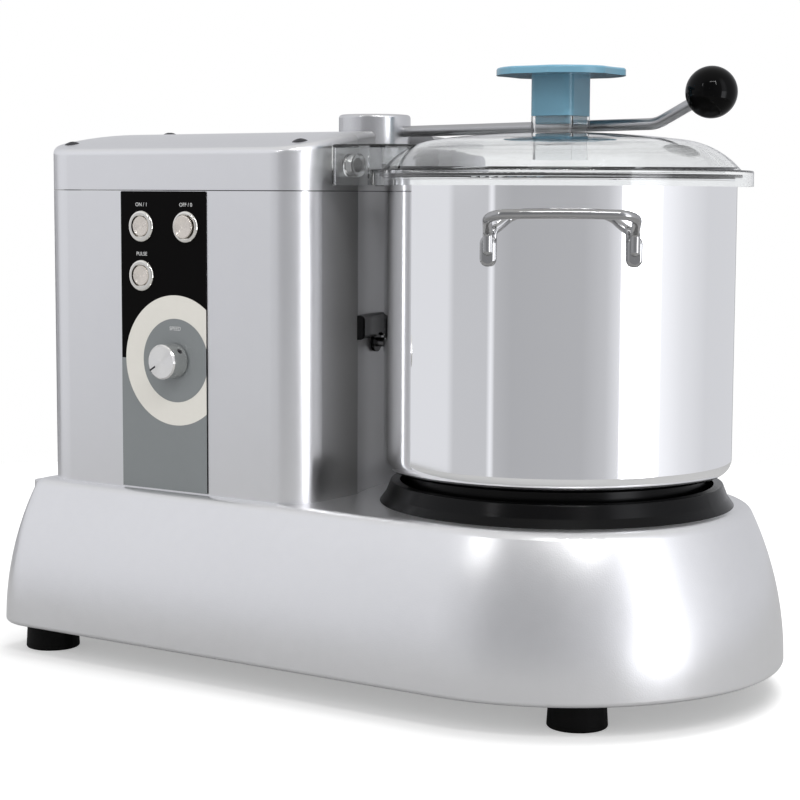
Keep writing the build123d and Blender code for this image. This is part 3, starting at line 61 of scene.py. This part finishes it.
# ---------------------------------------------------------------- places taken from the frame
panel_low, panel_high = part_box("panel_overlay")
panel_front_y = panel_low.y
knob_low, knob_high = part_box("speed_knob")
knob_x = (knob_low.x + knob_high.x) / 2
knob_z = (knob_low.z + knob_high.z) / 2
knob_radius = (knob_high.x - knob_low.x) / 2
bowl_x = centre("bowl_seat_ring").x
button_words = {"on_button": "ON / 1", "off_button": "OFF / 0", "pulse_button": "PULSE"}

# ---------------------------------------------------------------- camera
camera_place = (0.7891, -1.1948, 0.3415)
camera_back = Vector((0.55381, -0.82611, 0.10415))  # from the machine towards the camera
camera_roll = math.radians(0.258)
focal_length = 89.17
sensor_width = 36.0


def add_camera():
    back = camera_back.normalized()
    level_right = Vector((-back.y, back.x, 0)).normalized()
    level_up = back.cross(level_right)
    right = level_right * math.cos(camera_roll) + level_up * math.sin(camera_roll)
    up = level_up * math.cos(camera_roll) - level_right * math.sin(camera_roll)
    data = bpy.data.cameras.new("studio_camera")
    data.lens = focal_length
    data.sensor_width = sensor_width
    data.clip_end = 50
    camera = add_object("studio_camera", data)
    turn = Matrix((right, up, back)).transposed().to_4x4()
    camera.matrix_world = Matrix.Translation(camera_place) @ turn
    bpy.context.scene.camera = camera


# ---------------------------------------------------------------- shader node helpers
class Shader:
    """A material's or group's node tree, with short calls for adding and joining nodes."""

    def __init__(self, tree):
        self.tree = tree

    def node(self, kind, **settings):
        made = self.tree.nodes.new(kind)
        for name, value in settings.items():
            setattr(made, name, value)
        return made

    def join(self, source, target):
        self.tree.links.new(source, target)

    def fill(self, socket, value):
        if isinstance(value, bpy.types.NodeSocket):
            self.join(value, socket)
        else:
            socket.default_value = value

    def math(self, operation, first, second=0.0, third=0.0):
        made = self.node("ShaderNodeMath", operation=operation)
        self.fill(made.inputs[0], first)
        self.fill(made.inputs[1], second)
        self.fill(made.inputs[2], third)
        return made.outputs[0]

    def spread(self, value, low, high):
        """Maps 0...1 to low...high."""
        made = self.node("ShaderNodeMapRange")
        self.fill(made.inputs["Value"], value)
        self.fill(made.inputs["To Min"], low)
        self.fill(made.inputs["To Max"], high)
        return made.outputs["Result"]

    def noise(self, place, scale, detail=2.0, roughness=0.5):
        made = self.node("ShaderNodeTexNoise")
        self.fill(made.inputs["Vector"], place)
        self.fill(made.inputs["Scale"], scale)
        made.inputs["Detail"].default_value = detail
        made.inputs["Roughness"].default_value = roughness
        return made.outputs["Fac"]

    def blend(self, amount, first, second):
        made = self.node("ShaderNodeMix", data_type="RGBA")
        self.fill(made.inputs["Factor"], amount)
        self.fill(made.inputs["A"], first)
        self.fill(made.inputs["B"], second)
        return made.outputs["Result"]

    def place(self):
        return self.node("ShaderNodeTexCoord").outputs["Object"]

    def bump(self, height, strength, distance):
        made = self.node("ShaderNodeBump")
        made.inputs["Strength"].default_value = strength
        made.inputs["Distance"].default_value = distance
        self.join(height, made.inputs["Height"])
        return made.outputs["Normal"]

    def use(self, group, **inputs):
        made = self.node("ShaderNodeGroup", node_tree=group)
        for name, value in inputs.items():
            self.fill(made.inputs[name.replace("_", " ")], value)
        return made


def new_group(name, inputs, outputs):
    tree = bpy.data.node_groups.new(name, "ShaderNodeTree")
    for socket, kind in inputs.items():
        tree.interface.new_socket(socket, in_out="INPUT", socket_type=kind)
    for socket, kind in outputs.items():
        tree.interface.new_socket(socket, in_out="OUTPUT", socket_type=kind)
    shader = Shader(tree)
    entry = shader.node("NodeGroupInput").outputs
    leave = shader.node("NodeGroupOutput").inputs
    return tree, shader, entry, leave


def handling_group():
    """Large soft variation with finer specks: Value runs from Low to High."""
    tree, shader, entry, leave = new_group(
        "handling_marks",
        {"Place": "NodeSocketVector", "Size": "NodeSocketFloat", "Low": "NodeSocketFloat",
         "High": "NodeSocketFloat"},
        {"Value": "NodeSocketFloat"})
    broad = shader.noise(entry["Place"], entry["Size"], detail=3.0)
    fine = shader.noise(entry["Place"], shader.math("MULTIPLY", entry["Size"], 9.0))
    both = shader.math("MULTIPLY_ADD", fine, 0.35, shader.math("MULTIPLY", broad, 0.65))
    shader.join(shader.spread(both, entry["Low"], entry["High"]), leave["Value"])
    return tree


def grain_group():
    """Brushing lines: noise stretched along one direction, given by a scale for each axis."""
    tree, shader, entry, leave = new_group(
        "brushing",
        {"Place": "NodeSocketVector", "Stretch": "NodeSocketVector"},
        {"Height": "NodeSocketFloat"})
    scaled = shader.node("ShaderNodeVectorMath", operation="MULTIPLY")
    shader.join(entry["Place"], scaled.inputs[0])
    shader.join(entry["Stretch"], scaled.inputs[1])
    lines = shader.noise(scaled.outputs[0], 1.0, detail=4.0, roughness=0.65)
    shader.join(lines, leave["Height"])
    return tree


def lathe_group():
    """Turning grooves: rings about an axis along Y through the given centre."""
    tree, shader, entry, leave = new_group(
        "lathe_rings",
        {"Place": "NodeSocketVector", "Centre": "NodeSocketVector", "Pitch": "NodeSocketFloat"},
        {"Height": "NodeSocketFloat"})
    offset = shader.node("ShaderNodeVectorMath", operation="SUBTRACT")
    shader.join(entry["Place"], offset.inputs[0])
    shader.join(entry["Centre"], offset.inputs[1])
    flat = shader.node("ShaderNodeVectorMath", operation="MULTIPLY")
    shader.join(offset.outputs[0], flat.inputs[0])
    flat.inputs[1].default_value = (1, 0, 1)
    length = shader.node("ShaderNodeVectorMath", operation="LENGTH")
    shader.join(flat.outputs[0], length.inputs[0])
    turns = shader.math("DIVIDE", length.outputs["Value"], entry["Pitch"])
    wave = shader.math("SINE", shader.math("MULTIPLY", turns, 2 * math.pi))
    shader.join(wave, leave["Height"])
    return tree


handling = handling_group()
grain = grain_group()
lathe = lathe_group()


def new_material(name, colour, metallic, roughness):
    """A Principled material with plain numbers on its sockets, ready for procedural inputs."""
    material = bpy.data.materials.new(name)
    material.use_nodes = True
    shader = Shader(material.node_tree)
    surface = material.node_tree.nodes["Principled BSDF"]
    surface.inputs["Base Color"].default_value = (*colour, 1)
    surface.inputs["Metallic"].default_value = metallic
    surface.inputs["Roughness"].default_value = roughness
    return material, shader, surface.inputs


def vary(shader, inputs, colour, colour_range, roughness_range, size):
    """Breaks up the colour and the roughness with soft marks."""
    place = shader.place()
    marks = shader.use(handling, Place=place, Size=size, Low=0.0, High=1.0).outputs["Value"]
    dark = (*[channel * colour_range[0] for channel in colour], 1)
    light = (*[min(channel * colour_range[1], 1) for channel in colour], 1)
    shader.join(shader.blend(marks, dark, light), inputs["Base Color"])
    shader.join(shader.spread(marks, *roughness_range), inputs["Roughness"])
    return place


# ---------------------------------------------------------------- materials, one for each finish
# Scales of the brushing noise along X, Y and Z. Its lines run along the axes with the smaller ones.
upright_grain = (700.0, 700.0, 8.0)
flat_grain = (60.0, 900.0, 60.0)
even_grain = (250.0, 250.0, 250.0)
fine_polish = (30.0, 30.0, 900.0)

# The housing's steel carries painted shade, darker and less metallic, up to the first distance from
# the bowl's axis, and is plain satin from the second.
painted_shade_radius = 0.141
painted_shade_end_radius = 0.166
painted_shade_share = 0.42
painted_shade_metallic = 0.6


def cast_aluminium():
    """A polished casting: fine peel over a faint long swell."""
    colour = (0.8, 0.8, 0.81)
    material, shader, inputs = new_material("polished_cast_aluminium", colour, 0.9, 0.3)
    place = vary(shader, inputs, colour, (0.94, 1.03), (0.25, 0.34), size=14.0)
    peel = shader.noise(place, scale=1100.0)
    swell = shader.noise(place, scale=22.0, detail=1.0)
    height = shader.math("MULTIPLY_ADD", swell, 6.0, peel)
    shader.join(shader.bump(height, strength=0.14, distance=0.0004), inputs["Normal"])
    return material


def brushed_steel(name, colour, roughness_range, stretch, strength):
    material, shader, inputs = new_material(name, colour, 1.0, roughness_range[0])
    place = vary(shader, inputs, colour, (0.96, 1.02), roughness_range, size=9.0)
    lines = shader.use(grain, Place=place, Stretch=stretch).outputs["Height"]
    shader.join(shader.bump(lines, strength, distance=0.0002), inputs["Normal"])
    return material


def housing_steel_with_painted_shade():
    """Satin sheet with painted shade round the bowl: darker and less metallic near the bowl's axis.
    """
    colour = (0.84, 0.84, 0.85)
    material, shader, inputs = new_material("satin_housing_steel_with_painted_shade", colour, 1.0, 0.25)
    place = vary(shader, inputs, colour, (0.96, 1.02), (0.28, 0.34), size=9.0)
    satin = inputs["Base Color"].links[0].from_socket
    axes = shader.node("ShaderNodeSeparateXYZ")
    shader.join(place, axes.inputs[0])
    across = shader.math("SUBTRACT", axes.outputs["X"], bowl_x)
    depth_squared = shader.math("POWER", axes.outputs["Y"], 2.0)
    squares = shader.math("MULTIPLY_ADD", across, across, depth_squared)
    shade_fade = shader.node("ShaderNodeMapRange")
    shader.join(shader.math("SQRT", squares), shade_fade.inputs["Value"])
    shade_fade.inputs["From Min"].default_value = painted_shade_radius
    shade_fade.inputs["From Max"].default_value = painted_shade_end_radius
    # Painted shade: near the bowl the housing's colour drops to this share and its metallic drops
    # too.
    shade_colour = (*[channel * painted_shade_share for channel in colour], 1)
    shader.join(shader.blend(shade_fade.outputs["Result"], shade_colour, satin), inputs["Base Color"])
    shader.join(shader.spread(shade_fade.outputs["Result"], painted_shade_metallic, 1.0), inputs["Metallic"])
    lines = shader.use(grain, Place=place, Stretch=upright_grain).outputs["Height"]
    shader.join(shader.bump(lines, strength=0.05, distance=0.0002), inputs["Normal"])
    return material


def mirror_steel(name, colour, roughness_range):
    material, shader, inputs = new_material(name, colour, 1.0, roughness_range[0])
    place = vary(shader, inputs, colour, (0.98, 1.0), roughness_range, size=20.0)
    polish = shader.use(grain, Place=place, Stretch=fine_polish).outputs["Height"]
    shader.join(shader.bump(polish, strength=0.012, distance=0.0001), inputs["Normal"])
    return material


def turned_metal(name, node, colour, roughness_range, pitch, strength):
    """A lathe-turned face with rings about the node's own centre."""
    material, shader, inputs = new_material(name, colour, 1.0, roughness_range[0])
    place = vary(shader, inputs, colour, (0.95, 1.03), roughness_range, size=60.0)
    rings = shader.use(lathe, Place=place, Centre=tuple(centre(node)), Pitch=pitch)
    shader.join(shader.bump(rings.outputs["Height"], strength, distance=0.0001), inputs["Normal"])
    return material


def clear_plastic():
    colour = (0.93, 0.94, 0.945)
    material, shader, inputs = new_material("clear_polycarbonate", colour, 0.0, 0.015)
    inputs["Transmission Weight"].default_value = 1.0
    inputs["IOR"].default_value = 1.5
    marks = shader.use(handling, Place=shader.place(), Size=25.0, Low=0.008, High=0.03)
    shader.join(marks.outputs["Value"], inputs["Roughness"])
    return material


def gloss_plastic(name, colour, roughness_range, peel=0.02, shine=0.5):
    material, shader, inputs = new_material(name, colour, 0.0, roughness_range[0])
    inputs["Specular IOR Level"].default_value = shine
    place = vary(shader, inputs, colour, (0.94, 1.04), roughness_range, size=30.0)
    skin = shader.noise(place, scale=500.0, detail=1.0)
    shader.join(shader.bump(skin, peel, distance=0.0002), inputs["Normal"])
    return material


def rubber(name, colour, roughness_range):
    material, shader, inputs = new_material(name, colour, 0.0, roughness_range[0])
    inputs["Specular IOR Level"].default_value = 0.12
    place = vary(shader, inputs, colour, (0.8, 1.25), roughness_range, size=40.0)
    pores = shader.noise(place, scale=1400.0)
    shader.join(shader.bump(pores, strength=0.12, distance=0.0002), inputs["Normal"])
    return material


def make_materials():
    """The finishes, named for their slots in the record."""
    return {
        "cast_aluminium": cast_aluminium(),
        "housing_steel": housing_steel_with_painted_shade(),
        "zinc_plate": brushed_steel("zinc_plate", (0.62, 0.63, 0.64), (0.35, 0.5),
                                    even_grain, 0.05),
        "steel_fasteners": brushed_steel("plain_steel", (0.6, 0.6, 0.62), (0.25, 0.38),
                                         even_grain, 0.05),
        "lever_steel": brushed_steel("satin_lever_steel", (0.46, 0.46, 0.47), (0.26, 0.34),
                                     even_grain, 0.04),
        "blade_steel": brushed_steel("ground_blade_steel", (0.78, 0.79, 0.8), (0.15, 0.24),
                                     flat_grain, 0.05),
        "bearing_steel": mirror_steel("bearing_steel", (0.7, 0.7, 0.72), (0.1, 0.18)),
        "magnet_steel": mirror_steel("nickel", (0.75, 0.74, 0.72), (0.08, 0.14)),
        "bowl_steel": mirror_steel("mirror_bowl_steel", (0.955, 0.955, 0.96), (0.03, 0.06)),
        "wire_steel": mirror_steel("polished_wire_steel", (0.4, 0.4, 0.4), (0.08, 0.14)),
        "switch_metal": mirror_steel("polished_bezels", (0.86, 0.84, 0.79), (0.06, 0.12)),
        "black_screws": gloss_plastic("black_oxide", (0.02, 0.02, 0.024), (0.3, 0.42), shine=0.3),
        "panel_film": gloss_plastic("panel_black_film", (0.0025, 0.0022, 0.0022), (0.3, 0.38),
                                    shine=0.04),
        "black_plastic": gloss_plastic("black_moulding", (0.002, 0.002, 0.0022), (0.16, 0.26),
                                       shine=0.14),
        "ball_plastic": gloss_plastic("ball_gloss", (0.0015, 0.0015, 0.0015), (0.03, 0.06),
                                      peel=0.0, shine=0.08),
        "blue_plastic": gloss_plastic("blue_pusher", (0.18, 0.39, 0.52), (0.14, 0.22), shine=0.4),
        "blade_plastic": gloss_plastic("white_moulding", (0.8, 0.8, 0.78), (0.25, 0.35)),
        "circuit_board": gloss_plastic("circuit_board_green", (0.03, 0.13, 0.06), (0.3, 0.4)),
        "foot_rubber": rubber("foot_rubber", (0.0035, 0.0035, 0.0035), (0.5, 0.65)),
        "seal_rubber": rubber("seal_rubber", (0.02, 0.02, 0.02), (0.4, 0.5)),
        "belt_rubber": rubber("belt_rubber", (0.02, 0.02, 0.02), (0.5, 0.6)),
        "brass_parts": brushed_steel("brass", (0.72, 0.52, 0.22), (0.2, 0.3), even_grain, 0.04),
        "pulley_iron": brushed_steel("pulley_iron", (0.3, 0.3, 0.31), (0.35, 0.45),
                                     even_grain, 0.06),
        "motor_iron": brushed_steel("motor_iron", (0.2, 0.22, 0.24), (0.4, 0.5), even_grain, 0.08),
        "clear_lid": clear_plastic(),
    }


def dress(obj, material):
    obj.data.materials.clear()
    obj.data.materials.append(material)


def dress_frame(materials):
    """Each node gets its slot's finish. The buttons, the knob and the hub have their own."""
    slots = {part["node"]: part["material_slot"] for part in frame["record"]["subparts"]}
    own = {name: turned_metal(f"turned_{name}", name, (0.83, 0.77, 0.7), (0.2, 0.28),
                              pitch=0.0004, strength=0.35)
           for name in button_words}
    own["lever_hub"] = brushed_steel("satin_hub_steel", (0.66, 0.66, 0.67), (0.2, 0.28),
                                     even_grain, 0.04)
    own["speed_knob"] = turned_metal("turned_knob", "speed_knob", (0.9, 0.89, 0.87), (0.16, 0.24),
                                     pitch=0.0005, strength=0.3)
    for name, obj in nodes.items():
        dress(obj, own.get(name) or materials[slots[name]])


# ---------------------------------------------------------------- printed panel
# Printed layers stack outwards from the panel's face, each one print thickness above the last.
print_thickness = 0.00012
print_overlap = 0.00005
ring_outer = 0.046
ring_inner = 0.0295
field_reach = 0.2
print_segments = 160
bezel_radius = 0.0112
label_size = 0.0038
label_gap = 0.0028
speed_label_rise = 0.0225


def mesh_from(name, shape):
    mesh = bpy.data.meshes.new(name)
    shape.to_mesh(mesh)
    shape.free()
    return mesh


def add_mesh(name, mesh, material, body):
    """An added piece that rides on a body and wears the material given."""
    obj = add_object(name, mesh)
    dress(obj, material)
    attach(obj, body)


def add_shape(name, shape, material, body):
    add_mesh(name, mesh_from(name, shape), material, body)


def cut_off(shape, point, normal):
    """Removes what lies on the normal's side of the plane and closes the cut."""
    everything = shape.verts[:] + shape.edges[:] + shape.faces[:]
    cut = bmesh.ops.bisect_plane(shape, geom=everything, plane_co=point, plane_no=normal,
                                 clear_outer=True)
    edges = [item for item in cut["geom_cut"] if isinstance(item, bmesh.types.BMEdge)]
    if edges:
        bmesh.ops.holes_fill(shape, edges=edges)


def print_sheet(name, radius, layer, material, low=None, high=None):
    """A printed disc about the knob, cut to the panel's edges and to the heights given."""
    shape = bmesh.new()
    bmesh.ops.create_circle(shape, cap_ends=True, segments=print_segments, radius=radius)
    bmesh.ops.rotate(shape, verts=shape.verts, matrix=Matrix.Rotation(math.pi / 2, 3, "X"))
    back = panel_front_y + print_overlap
    front = panel_front_y - print_thickness * layer
    bmesh.ops.translate(shape, verts=shape.verts, vec=(knob_x, back, knob_z))
    cut_off(shape, (panel_low.x, 0, 0), (-1, 0, 0))
    cut_off(shape, (panel_high.x, 0, 0), (1, 0, 0))
    if low is not None:
        cut_off(shape, (0, 0, low), (0, 0, -1))
    if high is not None:
        cut_off(shape, (0, 0, high), (0, 0, 1))
    raised = bmesh.ops.extrude_face_region(shape, geom=shape.faces[:])
    moved = [item for item in raised["geom"] if isinstance(item, bmesh.types.BMVert)]
    bmesh.ops.translate(shape, verts=moved, vec=(0, front - back, 0))
    bmesh.ops.recalc_face_normals(shape, faces=shape.faces)
    add_shape(name, shape, material, "machine")


def panel_print():
    cream = gloss_plastic("print_cream", (0.7, 0.68, 0.63), (0.3, 0.38))
    slate = gloss_plastic("print_grey", (0.2, 0.215, 0.22), (0.3, 0.38))
    print_sheet("print_lower_field", field_reach, 1, slate, low=panel_low.z, high=knob_z)
    print_sheet("print_ring", ring_outer, 2, cream)
    print_sheet("print_dial_field", ring_inner, 3, slate)


def label(name, words, x, z, layer, material):
    """Printed words on the panel, centred on x with their middle at z."""
    curve = bpy.data.curves.new(name, "FONT")
    curve.body = words
    curve.size = label_size
    curve.align_x = "CENTER"
    curve.align_y = "CENTER"
    curve.extrude = print_thickness / 2
    text = add_object(name, curve)
    bpy.context.view_layer.update()
    mesh = bpy.data.meshes.new_from_object(text)
    bpy.data.objects.remove(text)
    front = panel_front_y - print_thickness * (layer + 0.5)
    mesh.transform(Matrix.Translation((x, front, z)) @ Matrix.Rotation(math.pi / 2, 4, "X"))
    add_mesh(name, mesh, material, "machine")


def panel_labels():
    white = gloss_plastic("print_white", (0.62, 0.62, 0.62), (0.35, 0.4))
    button_label_rise = bezel_radius + label_gap + label_size / 3
    for name, words in button_words.items():
        middle = centre(name)
        label(f"label_{name}", words, middle.x, middle.z + button_label_rise, 0, white)
    label("label_speed", "SPEED", knob_x, knob_z + speed_label_rise, 3, white)


# ---------------------------------------------------------------- small fittings
seam_gap = 0.0006
seam_slice = 0.0004
index_angle = math.radians(212)
index_length = 0.0058
index_width = 0.00125
index_depth = 0.0007
grub_angle = math.radians(38)
grub_radius = 0.00195
grub_sink = 0.0009
grub_length = 0.0035
grub_socket_rim = 0.45
grub_socket_depth = 0.5
grub_from_back = 0.006468
knob_skin = 0.0001


def seam_shadow_strip(material):
    """A thin black strip of painted shadow that fills the seam between the housing's walls and its
    top cover.
    """
    shape = bmesh.new()
    shape.from_mesh(nodes["housing_shell"].data)
    bmesh.ops.remove_doubles(shape, verts=shape.verts, dist=0.00001)
    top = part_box("housing_shell")[1].z
    cut_off(shape, (0, 0, top - seam_slice), (0, 0, -1))
    rise = seam_slice + (seam_gap - seam_slice) / 2
    bmesh.ops.translate(shape, verts=shape.verts, vec=(0, 0, rise))
    bmesh.ops.recalc_face_normals(shape, faces=shape.faces)
    add_shape("seam_shadow_strip", shape, material, "machine")


def index_mark(material):
    """Black filling in the groove on the speed knob's face."""
    shape = bmesh.new()
    bmesh.ops.create_cube(shape, size=1.0)
    bmesh.ops.scale(shape, verts=shape.verts, vec=(index_length, index_depth, index_width))
    bmesh.ops.bevel(shape, geom=shape.edges[:], offset=knob_skin, segments=2, affect="EDGES")
    radius = knob_radius - index_length / 2 - knob_skin
    bmesh.ops.translate(shape, verts=shape.verts, vec=(radius, 0, 0))
    bmesh.ops.rotate(shape, verts=shape.verts, matrix=Matrix.Rotation(-index_angle, 3, "Y"))
    place = (knob_x, knob_low.y + index_depth / 2 - knob_skin, knob_z)
    bmesh.ops.translate(shape, verts=shape.verts, vec=place)
    add_shape("knob_index_mark", shape, material, "speed_dial")


def grub_screw(material):
    """The socket set screw in the knob's side, sunk a little below its skin."""
    shape = bmesh.new()
    bmesh.ops.create_circle(shape, cap_ends=True, segments=40, radius=grub_radius)
    wall = bmesh.ops.extrude_face_region(shape, geom=shape.faces[:])
    moved = [item for item in wall["geom"] if isinstance(item, bmesh.types.BMVert)]
    bmesh.ops.translate(shape, verts=moved, vec=(0, 0, grub_length))
    top = [item for item in wall["geom"] if isinstance(item, bmesh.types.BMFace)]
    bmesh.ops.inset_region(shape, faces=top, thickness=grub_radius * grub_socket_rim)
    socket = bmesh.ops.extrude_face_region(shape, geom=top)
    sunk = [item for item in socket["geom"] if isinstance(item, bmesh.types.BMVert)]
    bmesh.ops.translate(shape, verts=sunk, vec=(0, 0, -grub_length * grub_socket_depth))
    bmesh.ops.delete(shape, geom=top, context="FACES")
    bmesh.ops.recalc_face_normals(shape, faces=shape.faces)
    seat = knob_radius - grub_sink - grub_length
    bmesh.ops.translate(shape, verts=shape.verts, vec=(0, 0, seat))
    bmesh.ops.rotate(shape, verts=shape.verts, matrix=Matrix.Rotation(math.pi / 2, 3, "Y"))
    bmesh.ops.rotate(shape, verts=shape.verts, matrix=Matrix.Rotation(-grub_angle, 3, "Y"))
    place = (knob_x, knob_high.y - grub_from_back, knob_z)
    bmesh.ops.translate(shape, verts=shape.verts, vec=place)
    add_shape("knob_grub_screw", shape, material, "speed_dial")


# ---------------------------------------------------------------- stage and light
floor_radius = 1.15
floor_segments = 128
light_target = (0.05, 0, 0.2)
# Angle about +Z in degrees, from +X towards +Y, and the light's level there.
azimuth_bands = (
    (-180, 0.8), (-150, 0.85), (-124, 0.85), (-110, 0.6), (-106, 0.54), (-105, 0.75),
    (-103, 0.75), (-102, 0.45), (-90, 0.36), (-62, 0.36), (-45, 0.5), (-30, 0.6),
    (-20, 0.75), (-18.5, 1.8), (-4, 2.4), (9, 1.0), (40, 0.74), (102, 0.62), (131, 0.6),
    (180, 0.8))
low_azimuth_bands = (
    (-180, 0.1), (-178, 0.75), (-136, 0.75), (-131, 0.56), (-106, 0.56), (-105, 0.9),
    (-103, 0.9), (-102, 0.48), (-90, 0.43), (-45, 0.45), (-30, 0.55), (-20, 0.8),
    (-18.5, 6.0), (-4, 6.0), (8, 1.0), (27, 0.8), (50, 0.67), (105, 0.67), (112, 0.08),
    (160, 0.08), (161.5, 0.62), (168, 0.62), (170, 0.1), (180, 0.1))
band_tint = (0.99, 1.0, 1.045)
# Over the first range of heights the low bands pass into the upper ones, over the second those
# pass into the overhead light. A height of 0 is the horizon, and 1 is straight up.
upper_bands_rise = (-0.01, 0.06)
overhead_rise = (0.55, 0.9)
ambient_level = 0.62
overhead_level = 0.8
floor_glow = 0.34
gloss_floor_glow = 0.05
floor_grey = 0.82
gloss_floor_grey = 0.42


def grey(level):
    return (level, level, level, 1)


def soft_step(shader, value, limits):
    """0 below the first limit, 1 above the second, and a smooth rise between them."""
    step = shader.node("ShaderNodeMapRange", interpolation_type="SMOOTHSTEP")
    shader.join(value, step.inputs["Value"])
    step.inputs["From Min"].default_value, step.inputs["From Max"].default_value = limits
    return step.outputs["Result"]


def band_ramp(shader, turn, levels):
    """Upright bands of light round the room, from a list of angles and levels."""
    bands = shader.node("ShaderNodeValToRGB")
    shader.join(turn, bands.inputs[0])
    stops = bands.color_ramp.elements
    while len(stops) < len(levels):
        stops.new(0.5)
    for stop, (angle, level) in zip(stops, levels):
        stop.position = (angle + 180) / 360
        stop.color = (*[level * channel for channel in band_tint], 1)
    return bands.outputs["Color"]


def studio_world():
    """Soft grey to matt surfaces, upright bands of light to polished ones, white to the eye."""
    world = bpy.data.worlds.new("studio")
    bpy.context.scene.world = world
    world.use_nodes = True
    shader = Shader(world.node_tree)
    background = world.node_tree.nodes["Background"]
    direction = shader.node("ShaderNodeSeparateXYZ")
    shader.join(shader.node("ShaderNodeTexCoord").outputs["Generated"], direction.inputs[0])
    azimuth = shader.math("ARCTAN2", direction.outputs["Y"], direction.outputs["X"])
    turn = shader.math("MULTIPLY_ADD", azimuth, 1 / (2 * math.pi), 0.5)
    bands = band_ramp(shader, turn, azimuth_bands)
    low_bands = band_ramp(shader, turn, low_azimuth_bands)
    height = direction.outputs["Z"]
    walls = shader.blend(soft_step(shader, height, upper_bands_rise), low_bands, bands)
    room = shader.blend(soft_step(shader, height, overhead_rise), walls, grey(overhead_level))
    path = shader.node("ShaderNodeLightPath").outputs
    to_surfaces = shader.blend(path["Is Glossy Ray"], grey(ambient_level), room)
    open_view = shader.math("MAXIMUM", path["Is Camera Ray"], path["Is Transmission Ray"])
    shader.join(shader.blend(open_view, to_surfaces, grey(1)), background.inputs["Color"])
    world.cycles.sampling_method = "NONE"


def floor():
    """A pale round floor whose unshaded part fades into the white surroundings."""
    shape = bmesh.new()
    bmesh.ops.create_circle(shape, cap_ends=True, segments=floor_segments, radius=floor_radius)
    obj = add_object("studio_floor", mesh_from("studio_floor", shape))
    material = bpy.data.materials.new("studio_floor")
    material.use_nodes = True
    shader = Shader(material.node_tree)
    tree = material.node_tree.nodes
    tree.remove(tree["Principled BSDF"])
    matt = shader.node("ShaderNodeBsdfDiffuse")
    glow = shader.node("ShaderNodeEmission")
    path = shader.node("ShaderNodeLightPath").outputs
    seen_grey = shader.blend(path["Is Glossy Ray"], grey(floor_grey), grey(gloss_floor_grey))
    shader.join(seen_grey, matt.inputs["Color"])
    seen = shader.math("MAXIMUM", path["Is Camera Ray"], path["Is Transmission Ray"])
    in_gloss = shader.math("MULTIPLY", path["Is Glossy Ray"], gloss_floor_glow)
    shader.join(shader.math("MULTIPLY_ADD", seen, floor_glow, in_gloss), glow.inputs["Strength"])
    both = shader.node("ShaderNodeAddShader")
    shader.join(matt.outputs[0], both.inputs[0])
    shader.join(glow.outputs[0], both.inputs[1])
    shader.join(both.outputs[0], tree["Material Output"].inputs["Surface"])
    dress(obj, material)


def area_light(name, place, size, watts, shows_in_gloss=True):
    data = bpy.data.lights.new(name, "AREA")
    data.shape = "RECTANGLE"
    data.size, data.size_y = size
    data.energy = watts
    lamp = add_object(name, data)
    lamp.location = place
    sight = Vector(light_target) - Vector(place)
    lamp.rotation_euler = sight.to_track_quat("-Z", "Y").to_euler()
    lamp.visible_glossy = shows_in_gloss
    lamp.visible_transmission = shows_in_gloss


def lights():
    """Two soft lamps that polished surfaces don't show, and three strips that they do."""
    area_light("overhead_softbox", (0.15, 0.55, 2.0), size=(1.3, 1.3), watts=22,
               shows_in_gloss=False)
    area_light("front_fill", (0.4, -2.0, 1.2), size=(1.2, 1.2), watts=8, shows_in_gloss=False)
    area_light("strip_top", (0.75, -0.95, 1.5), size=(0.6, 0.05), watts=3.4)
    area_light("strip_side", (1.05, -0.78, 1.3), size=(0.03, 0.42), watts=2.8)
    area_light("strip_front", (-0.43, -1.92, 1.5), size=(0.06, 0.5), watts=2.0)


# ---------------------------------------------------------------- build
bpy.context.scene.view_settings.view_transform = "Standard"
add_camera()
studio_world()
floor()
lights()
finishes = make_materials()
dress_frame(finishes)
panel_print()
panel_labels()
# Painted shadow: a black strip laid in the seam under the top cover.
seam_shadow_strip(finishes["seal_rubber"])
index_mark(finishes["black_screws"])
grub_screw(finishes["black_screws"])
